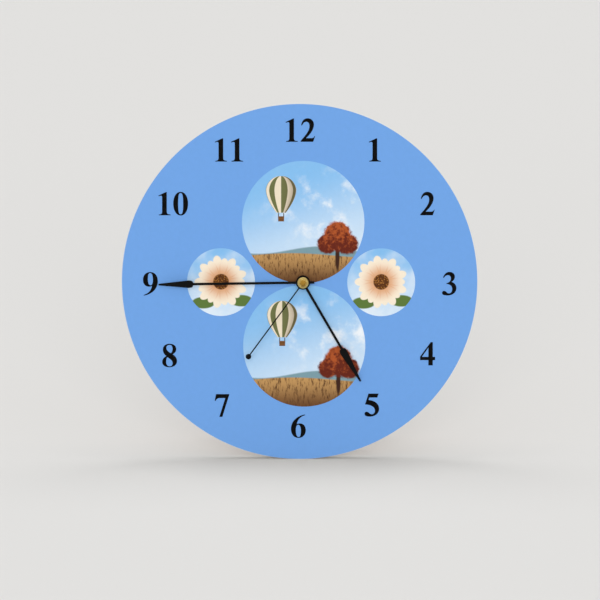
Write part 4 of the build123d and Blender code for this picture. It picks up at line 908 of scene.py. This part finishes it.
circuit, tree, shader = new_material("circuit_phenolic", VARNISH)
laminate = use_group(tree, moulded, Grain=1800.0, Tint=PHENOLIC, Patch=PHENOLIC_PATCH, Gloss=0.5)
x, _, z = parts_of(object_place(tree))
flat = vector_of(x, z, 0.0)
grid = add_node("ShaderNodeTexBrick", {"Vector": flat, **TRACKS}).outputs["Fac"]
tracked = mixed(grid, laminate["Colour"], TRACK)
connect(shader, laminate, relief=2e-5, Colour=tracked, Height=grid)
dress(circuit, "circuit_board")
chip_resin = plastic("chip_resin", RESIN, RESIN_PATCH, grain=1200.0, gloss=0.25, relief=6e-6)
dress(chip_resin, "timing_chip")

# %% [markdown]
# The pen cell has a printed sleeve: dark along most of its length, a copper-coloured band at the
# positive end and bare steel at both ends. Bands along x are all it takes, from the cell's box.

# %% Battery
SLEEVE_DARK = colour(30, 44, 66)
SLEEVE_PATCH = colour(36, 52, 76)
SLEEVE_GLAZE = {"Coat Weight": 0.5, "Coat Roughness": 0.12}
SLEEVE_BAND = colour(188, 122, 64)
BAND_SHARE = 0.27
BAND_FADE = 0.2 * MM
BARE_MINUS = 1.1 * MM
BARE_PLUS = 1.76 * MM
BARE_FADE = 0.1 * MM

cell_low, cell_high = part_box("battery")
band_start = cell_high.x - BAND_SHARE * (cell_high.x - cell_low.x)
minus_edge = cell_low.x + BARE_MINUS
plus_edge = cell_high.x - BARE_PLUS
sleeve, tree, shader = new_material("cell_sleeve", SLEEVE_GLAZE)
printed = use_group(tree, moulded, Grain=900.0, Tint=SLEEVE_DARK, Patch=SLEEVE_PATCH, Gloss=0.35)
x, _, _ = parts_of(object_place(tree))
band = fade(x, band_start, band_start + BAND_FADE)
banded = mixed(band, printed["Colour"], SLEEVE_BAND)
minus_end = fade(x, minus_edge, minus_edge - BARE_FADE)
plus_end = fade(x, plus_edge, plus_edge + BARE_FADE)
bare = either(minus_end, plus_end)
tree.links.new(bare, shader.inputs["Metallic"])
connect(shader, printed, relief=4e-6, Colour=mixed(bare, banded, ZINC))
dress(sleeve, "battery")

# %% [markdown]
# A few pieces exist in this scene alone. Each is modelled on the upright dial, with the shaft as
# its middle, and then leaned back with the dial. Riding on a body, it goes where the body goes.

# %% Helpers for pieces of the scene


def new_object(name, data):
    thing = bpy.data.objects.new(name, data)
    bpy.context.scene.collection.objects.link(thing)
    return thing


def mesh_of(name, shape):
    """Mesh with the shape of a bmesh, which is then let go."""
    mesh = bpy.data.meshes.new(name)
    shape.to_mesh(mesh)
    shape.free()
    return mesh


def finished_piece(name, mesh, material, body="clock"):
    """Puts a mesh that is laid out on the upright dial in its place, and rides it on a body."""
    mesh.transform(HUB_MATRIX)
    mesh.materials.clear()
    mesh.materials.append(material)
    piece = new_object(name, mesh)
    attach(piece, body)
    print(name, "has", len(mesh.polygons), "faces")
    return piece


def mesh_piece(name, shape, material, body="clock"):
    """Finished piece of a bmesh that is laid out on the upright dial."""
    bmesh.ops.recalc_face_normals(shape, faces=shape.faces)
    return finished_piece(name, mesh_of(name, shape), material, body)


# %% [markdown]
# Between the movement and the board lies a square of closed foam with a hole for the shaft. It is
# soft, so its cut edges bulge where it is squeezed. A formula makes it: points run out from the
# hole to the square's edge at each angle, and its thickness rounds off towards both edges.

# %% The foam pad's points
FOAM_ANGLES = 96
FOAM_STEPS = 14
FOAM_HOLE = 8.0 * MM
FOAM_SQUARENESS = 8

foam_front, foam_back = reach("foam_pad", BACK, HUB)
foam_half = reach("foam_pad", RIGHT, HUB)[1]


def foam_ring(step):
    """Ring of points at one step from the hole to the edge, with its share of the thickness."""
    share = step / (FOAM_STEPS - 1)
    fullness = (1.0 - (2.0 * share - 1.0) ** FOAM_SQUARENESS) ** 0.5
    ring = []
    for index in range(FOAM_ANGLES):
        turn = 2.0 * math.pi * index / FOAM_ANGLES
        edge = foam_half / max(abs(math.cos(turn)), abs(math.sin(turn)))
        distance = FOAM_HOLE + share * (edge - FOAM_HOLE)
        ring.append((distance * math.cos(turn), distance * math.sin(turn)))
    return ring, fullness


print("foam is", round((foam_back - foam_front) / MM, 2), "mm thick")

# %% [markdown]
# The front and the back skin are both laid over these rings and meet at the edges, where their
# points are merged. The finish is packed bits with a deep relief, which are the foam's cells.

# %% Foam pad
FOAM = colour(58, 58, 60)
FOAM_LIGHT = colour(76, 76, 78)
FOAM_DARK = colour(40, 40, 42)
MERGE_DISTANCE = 1e-6

pad_shape = bmesh.new()
middle_depth = (foam_front + foam_back) / 2
half_depth = (foam_back - foam_front) / 2
for side in (-1, 1):
    rows = []
    for step in range(FOAM_STEPS):
        ring, fullness = foam_ring(step)
        depth = middle_depth + side * half_depth * fullness
        rows.append([pad_shape.verts.new((right, depth, up)) for right, up in ring])
    for inner, outer in zip(rows, rows[1:]):
        for index in range(FOAM_ANGLES):
            after = (index + 1) % FOAM_ANGLES
            pad_shape.faces.new((inner[index], inner[after], outer[after], outer[index]))
bmesh.ops.remove_doubles(pad_shape, verts=pad_shape.verts, dist=MERGE_DISTANCE)

foam, tree, shader = new_material("closed_foam")
bubbles = use_group(
    tree, packed, Bits=1600.0, Tint=FOAM, Light=FOAM_LIGHT, Dark=FOAM_DARK, Gloss=0.85
)
connect(shader, bubbles, relief=6e-5)
pad = mesh_piece("foam_gasket", pad_shape, foam)
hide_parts("foam_pad")

# %% [markdown]
# The back of the movement has small moulded helps: a curved arrow by the knob, and plus and minus
# signs over the ends of the battery. Each is a strip that stands a quarter of a millimetre proud,
# so one function sweeps a strip with sloping sides along a row of points.

# %% Helpers for raised strips
SIGN_ROOT_HALF = 0.45 * MM
SIGN_TOP_HALF = 0.288 * MM
SIGN_RISE = 0.25 * MM
SIGN_ROOT = 0.05 * MM
SIGN_SECTION = (
    (-SIGN_ROOT_HALF, -SIGN_ROOT), (-SIGN_TOP_HALF, SIGN_RISE),
    (SIGN_TOP_HALF, SIGN_RISE), (SIGN_ROOT_HALF, -SIGN_ROOT),
)

cover_back = reach("rear_cover", BACK, HUB)[1]


def strip_ring(shape, right, up, across):
    """Corners of the strip's section at one point of the cover's back."""
    corners = []
    for shift, depth in SIGN_SECTION:
        place = (right + shift * across[0], cover_back + depth, up + shift * across[1])
        corners.append(shape.verts.new(place))
    return corners


def raised_strip(shape, points):
    """Strip along a row of points on the cover's back."""
    rings = []
    for index, (right, up) in enumerate(points):
        before = points[max(index - 1, 0)]
        after = points[min(index + 1, len(points) - 1)]
        run = Vector((after[0] - before[0], after[1] - before[1])).normalized()
        rings.append(strip_ring(shape, right, up, (-run.y, run.x)))
    corners = len(SIGN_SECTION)
    for first, second in zip(rings, rings[1:]):
        for corner in range(corners):
            after = (corner + 1) % corners
            shape.faces.new((first[corner], first[after], second[after], second[corner]))
    shape.faces.new(rings[0])
    shape.faces.new(rings[-1])


print("the cover's back is", round(cover_back / MM, 2), "mm behind the face")

# %% [markdown]
# The arrow's arc and the two strokes of its head go round the knob's own middle, which its joint
# holds. The battery's signs keep a fixed distance from the cover's edges: a minus on each side,
# and an upright stroke that makes a plus of the right one.

# %% Moulded signs
SIGN_ARM = 1.6 * MM
SIGN_INSET = 5.0 * MM
SIGN_ABOVE_BAY = 3.4 * MM
ARROW_RADIUS = 8.0 * MM
ARROW_ARC = (200.0, 110.0)
ARROW_STEPS = 20
ARROW_HEAD = 2.2 * MM
ARROW_HEAD_HALF = 1.32 * MM

cover_low = reach("rear_cover", UP, HUB)[0]
cover_right = reach("rear_cover", RIGHT, HUB)[1]
knob_point = Vector(joints["setting_spin"]["pos_m"]) - HUB
KNOB_AT = (knob_point.dot(RIGHT), knob_point.dot(UP))


def on_arrow(degrees, radius=ARROW_RADIUS):
    """Point at an angle round the knob."""
    turn = math.radians(degrees)
    return KNOB_AT[0] + radius * math.cos(turn), KNOB_AT[1] + radius * math.sin(turn)


signs = bmesh.new()
start, end = ARROW_ARC
arc = [on_arrow(start + (end - start) * step / ARROW_STEPS) for step in range(ARROW_STEPS + 1)]
raised_strip(signs, arc)
head_back = math.degrees(ARROW_HEAD / ARROW_RADIUS)
for radius in (ARROW_RADIUS - ARROW_HEAD_HALF, ARROW_RADIUS + ARROW_HEAD_HALF):
    raised_strip(signs, [on_arrow(end), on_arrow(end + head_back, radius)])
sign_up = cover_low + SIGN_ABOVE_BAY
for side in (-1, 1):
    middle = side * (cover_right - SIGN_INSET)
    raised_strip(signs, [(middle - SIGN_ARM, sign_up), (middle + SIGN_ARM, sign_up)])
raised_strip(signs, [(middle, sign_up - SIGN_ARM), (middle, sign_up + SIGN_ARM)])
mesh_piece("moulded_signs", signs, case_black)

# %% [markdown]
# Two rows of ribs near the cover's sides give the thumb a hold when the battery is changed. Ribs
# repeat, so Geometry Nodes make them: a line of points, a half-sunk round bar on each, and inputs
# for the count and the sizes, so that a row can be changed without touching the tree.

# %% Geometry Nodes tree for ribs
RIB_SIDES = 12
RIB_INPUTS = {"Count": "Int", "Pitch": "Float", "Length": "Float", "Radius": "Float"}


def rib_tree(material):
    """Geometry Nodes tree for one row of ribs, stacked upwards."""
    tree = bpy.data.node_groups.new("grip_ribs", "GeometryNodeTree")
    for label, kind in RIB_INPUTS.items():
        tree.interface.new_socket(label, in_out="INPUT", socket_type="NodeSocket" + kind)
    tree.interface.new_socket("Geometry", in_out="OUTPUT", socket_type="NodeSocketGeometry")
    given = add_node("NodeGroupInput", tree=tree).outputs
    step = vector_of(0.0, 0.0, given["Pitch"])
    points = add_node("GeometryNodeMeshLine", {"Count": given["Count"], "Offset": step})
    half = times(given["Length"], 0.5)
    ends = [vector_of(times(half, side), 0.0, 0.0) for side in (-1.0, 1.0)]
    line = add_node("GeometryNodeCurvePrimitiveLine", {"Start": ends[0], "End": ends[1]})
    sizes = {"Resolution": RIB_SIDES, "Radius": given["Radius"]}
    circle = add_node("GeometryNodeCurvePrimitiveCircle", sizes)
    sweep = {"Curve": line.outputs[0], "Profile Curve": circle.outputs[0], "Fill Caps": True}
    bar = add_node("GeometryNodeCurveToMesh", sweep)
    row = {"Points": points.outputs[0], "Instance": bar.outputs[0]}
    copies = add_node("GeometryNodeInstanceOnPoints", row)
    real = add_node("GeometryNodeRealizeInstances", {"Geometry": copies.outputs[0]})
    inputs = {"Geometry": real.outputs[0], "Material": material}
    painted = add_node("GeometryNodeSetMaterial", inputs)
    add_node("NodeGroupOutput", {"Geometry": painted.outputs[0]})
    return tree


ribs = rib_tree(case_black)
print("ribs grow from", len(ribs.nodes), "nodes")

# %% [markdown]
# Each row is then grown once and kept as a plain mesh, because every piece that rides on a body
# has to be one. The sizes go in through the tree's inputs.

# %% Grip ribs
RIB_COUNT = 9
RIB_PITCH = 1.5 * MM
RIB_LENGTH = 6.0 * MM
RIB_RADIUS = 0.35 * MM
RIB_UP = 2.0 * MM
RIB_INSET = 5.2 * MM


def grown_mesh(name, tree, values):
    """Plain mesh that a Geometry Nodes tree makes from the given values."""
    host = new_object(name + "_host", bpy.data.meshes.new(name + "_host"))
    grower = host.modifiers.new("grow", "NODES")
    grower.node_group = tree
    for item in tree.interface.items_tree:
        if item.in_out == "INPUT" and item.name in values:
            grower[item.identifier] = values[item.name]
    graph = bpy.context.evaluated_depsgraph_get()
    mesh = bpy.data.meshes.new_from_object(host.evaluated_get(graph))
    host.modifiers.remove(grower)
    bpy.data.objects.remove(host)
    return mesh


row_sizes = {"Count": RIB_COUNT, "Pitch": RIB_PITCH, "Length": RIB_LENGTH, "Radius": RIB_RADIUS}
for name, side in (("grip_ribs_left", -1), ("grip_ribs_right", 1)):
    row_mesh = grown_mesh(name, ribs, row_sizes)
    row_mesh.transform(Matrix.Translation((side * (cover_right - RIB_INSET), cover_back, RIB_UP)))
    finished_piece(name, row_mesh, case_black)

# %% [markdown]
# The stage is one pale floor under even studio light. The floor has a plain matt colour, so that
# it takes the soft shadow where the dial stands.

# %% Floor
BACKGROUND = colour(224, 223, 221)
FLOOR_SIZE = 12.0
MATT = {"Roughness": 1.0, "Specular IOR Level": 0.0}

floor_shape = bmesh.new()
bmesh.ops.create_grid(floor_shape, x_segments=2, y_segments=2, size=FLOOR_SIZE / 2)
floor_mesh = mesh_of("floor", floor_shape)
floor = new_object("floor", floor_mesh)
pale, _, _ = new_material("pale_floor", {"Base Color": BACKGROUND, **MATT})
floor_mesh.materials.append(pale)
print("floor of", FLOOR_SIZE, "m")

# %% [markdown]
# The world shows the same pale colour to the camera and in reflections, and gives its own soft
# white light to everything else. The Light Path node tells the two apart.

# %% World
WHITE = (1, 1, 1, 1)
WORLD_LIGHT = 0.44

world = bpy.data.worlds.new("studio")
world.use_nodes = True
bpy.context.scene.world = world
tree = world.node_tree
tree.nodes.clear()
rays = add_node("ShaderNodeLightPath", tree=tree).outputs
seen = either(rays["Is Camera Ray"], rays["Is Glossy Ray"])
seen = either(seen, rays["Is Transmission Ray"])
lights = [
    add_node("ShaderNodeBackground", {"Color": tint, "Strength": strength}, tree).outputs[0]
    for tint, strength in ((WHITE, WORLD_LIGHT), (BACKGROUND, 1.0))
]
choice = add_node("ShaderNodeMixShader", {0: seen, 1: lights[0], 2: lights[1]})
add_node("ShaderNodeOutputWorld", {"Surface": choice.outputs[0]})
print("world of strength", WORLD_LIGHT)

# %% [markdown]
# Broad lamps do the rest. Two stand behind the dial to the left and right and one hangs over it:
# their light passes along the leaning dial, and what it stops is the soft dark patch on the floor.
# The last comes from the front and lights the print evenly. Suns are used because their light is
# the same everywhere, which keeps the floor one even colour.

# %% Lamps


def way_to(azimuth, elevation):
    """Direction from the clock to a compass direction and a height, both in degrees."""
    turn, rise = math.radians(azimuth), math.radians(elevation)
    flat = math.cos(rise)
    return Vector((math.sin(turn) * flat, -math.cos(turn) * flat, math.sin(rise)))


def sun(name, azimuth, elevation, strength, spread):
    """Sun lamp that shines on the clock from afar; spread is how broad it is in degrees."""
    lamp = bpy.data.lights.new(name, "SUN")
    lamp.energy = strength
    lamp.angle = math.radians(spread)
    holder = new_object(name, lamp)
    holder.rotation_euler = way_to(azimuth, elevation).to_track_quat("Z", "Y").to_euler()
    print(name, "from", azimuth, elevation)


sun("back_left", azimuth=-122.0, elevation=60.0, strength=0.68, spread=34.0)
sun("back_right", azimuth=122.0, elevation=60.0, strength=0.68, spread=34.0)
sun("overhead", azimuth=180.0, elevation=75.0, strength=0.31, spread=14.0)
sun("front_fill", azimuth=0.0, elevation=12.0, strength=1.56, spread=44.0)

# %% [markdown]
# The camera looks from straight in front and slightly above with a long lens, as the photograph
# does. Its distance is chosen first. The lens follows from how large the dial is in the picture,
# and the point that the camera aims at from where the dial's middle is in it.

# %% Camera
IMAGE_WIDTH = 600
DIAL_MIDDLE_PIXEL = (299.6, 282.1)
DIAL_RADIUS_PIXELS = 177.8
CAMERA_AZIMUTH = 0.0
CAMERA_ELEVATION = 13.5
CAMERA_DISTANCE = 1.6

camera_data = bpy.data.cameras.new("camera")
camera = new_object("camera", camera_data)
bpy.context.scene.camera = camera
pixels_per_metre = DIAL_RADIUS_PIXELS / DIAL_RADIUS
camera_data.lens = pixels_per_metre * CAMERA_DISTANCE * camera_data.sensor_width / IMAGE_WIDTH
towards = way_to(CAMERA_AZIMUTH, CAMERA_ELEVATION)
facing = towards.to_track_quat("Z", "Y")
off_right = (IMAGE_WIDTH / 2 - DIAL_MIDDLE_PIXEL[0]) / pixels_per_metre
off_up = (DIAL_MIDDLE_PIXEL[1] - IMAGE_WIDTH / 2) / pixels_per_metre
target = DIAL_MIDDLE + facing @ Vector((off_right, off_up, 0.0))
camera.location = target + CAMERA_DISTANCE * towards
camera.rotation_euler = facing.to_euler()
bpy.context.scene.view_settings.view_transform = "Standard"
print("lens in mm:", round(camera_data.lens, 1))
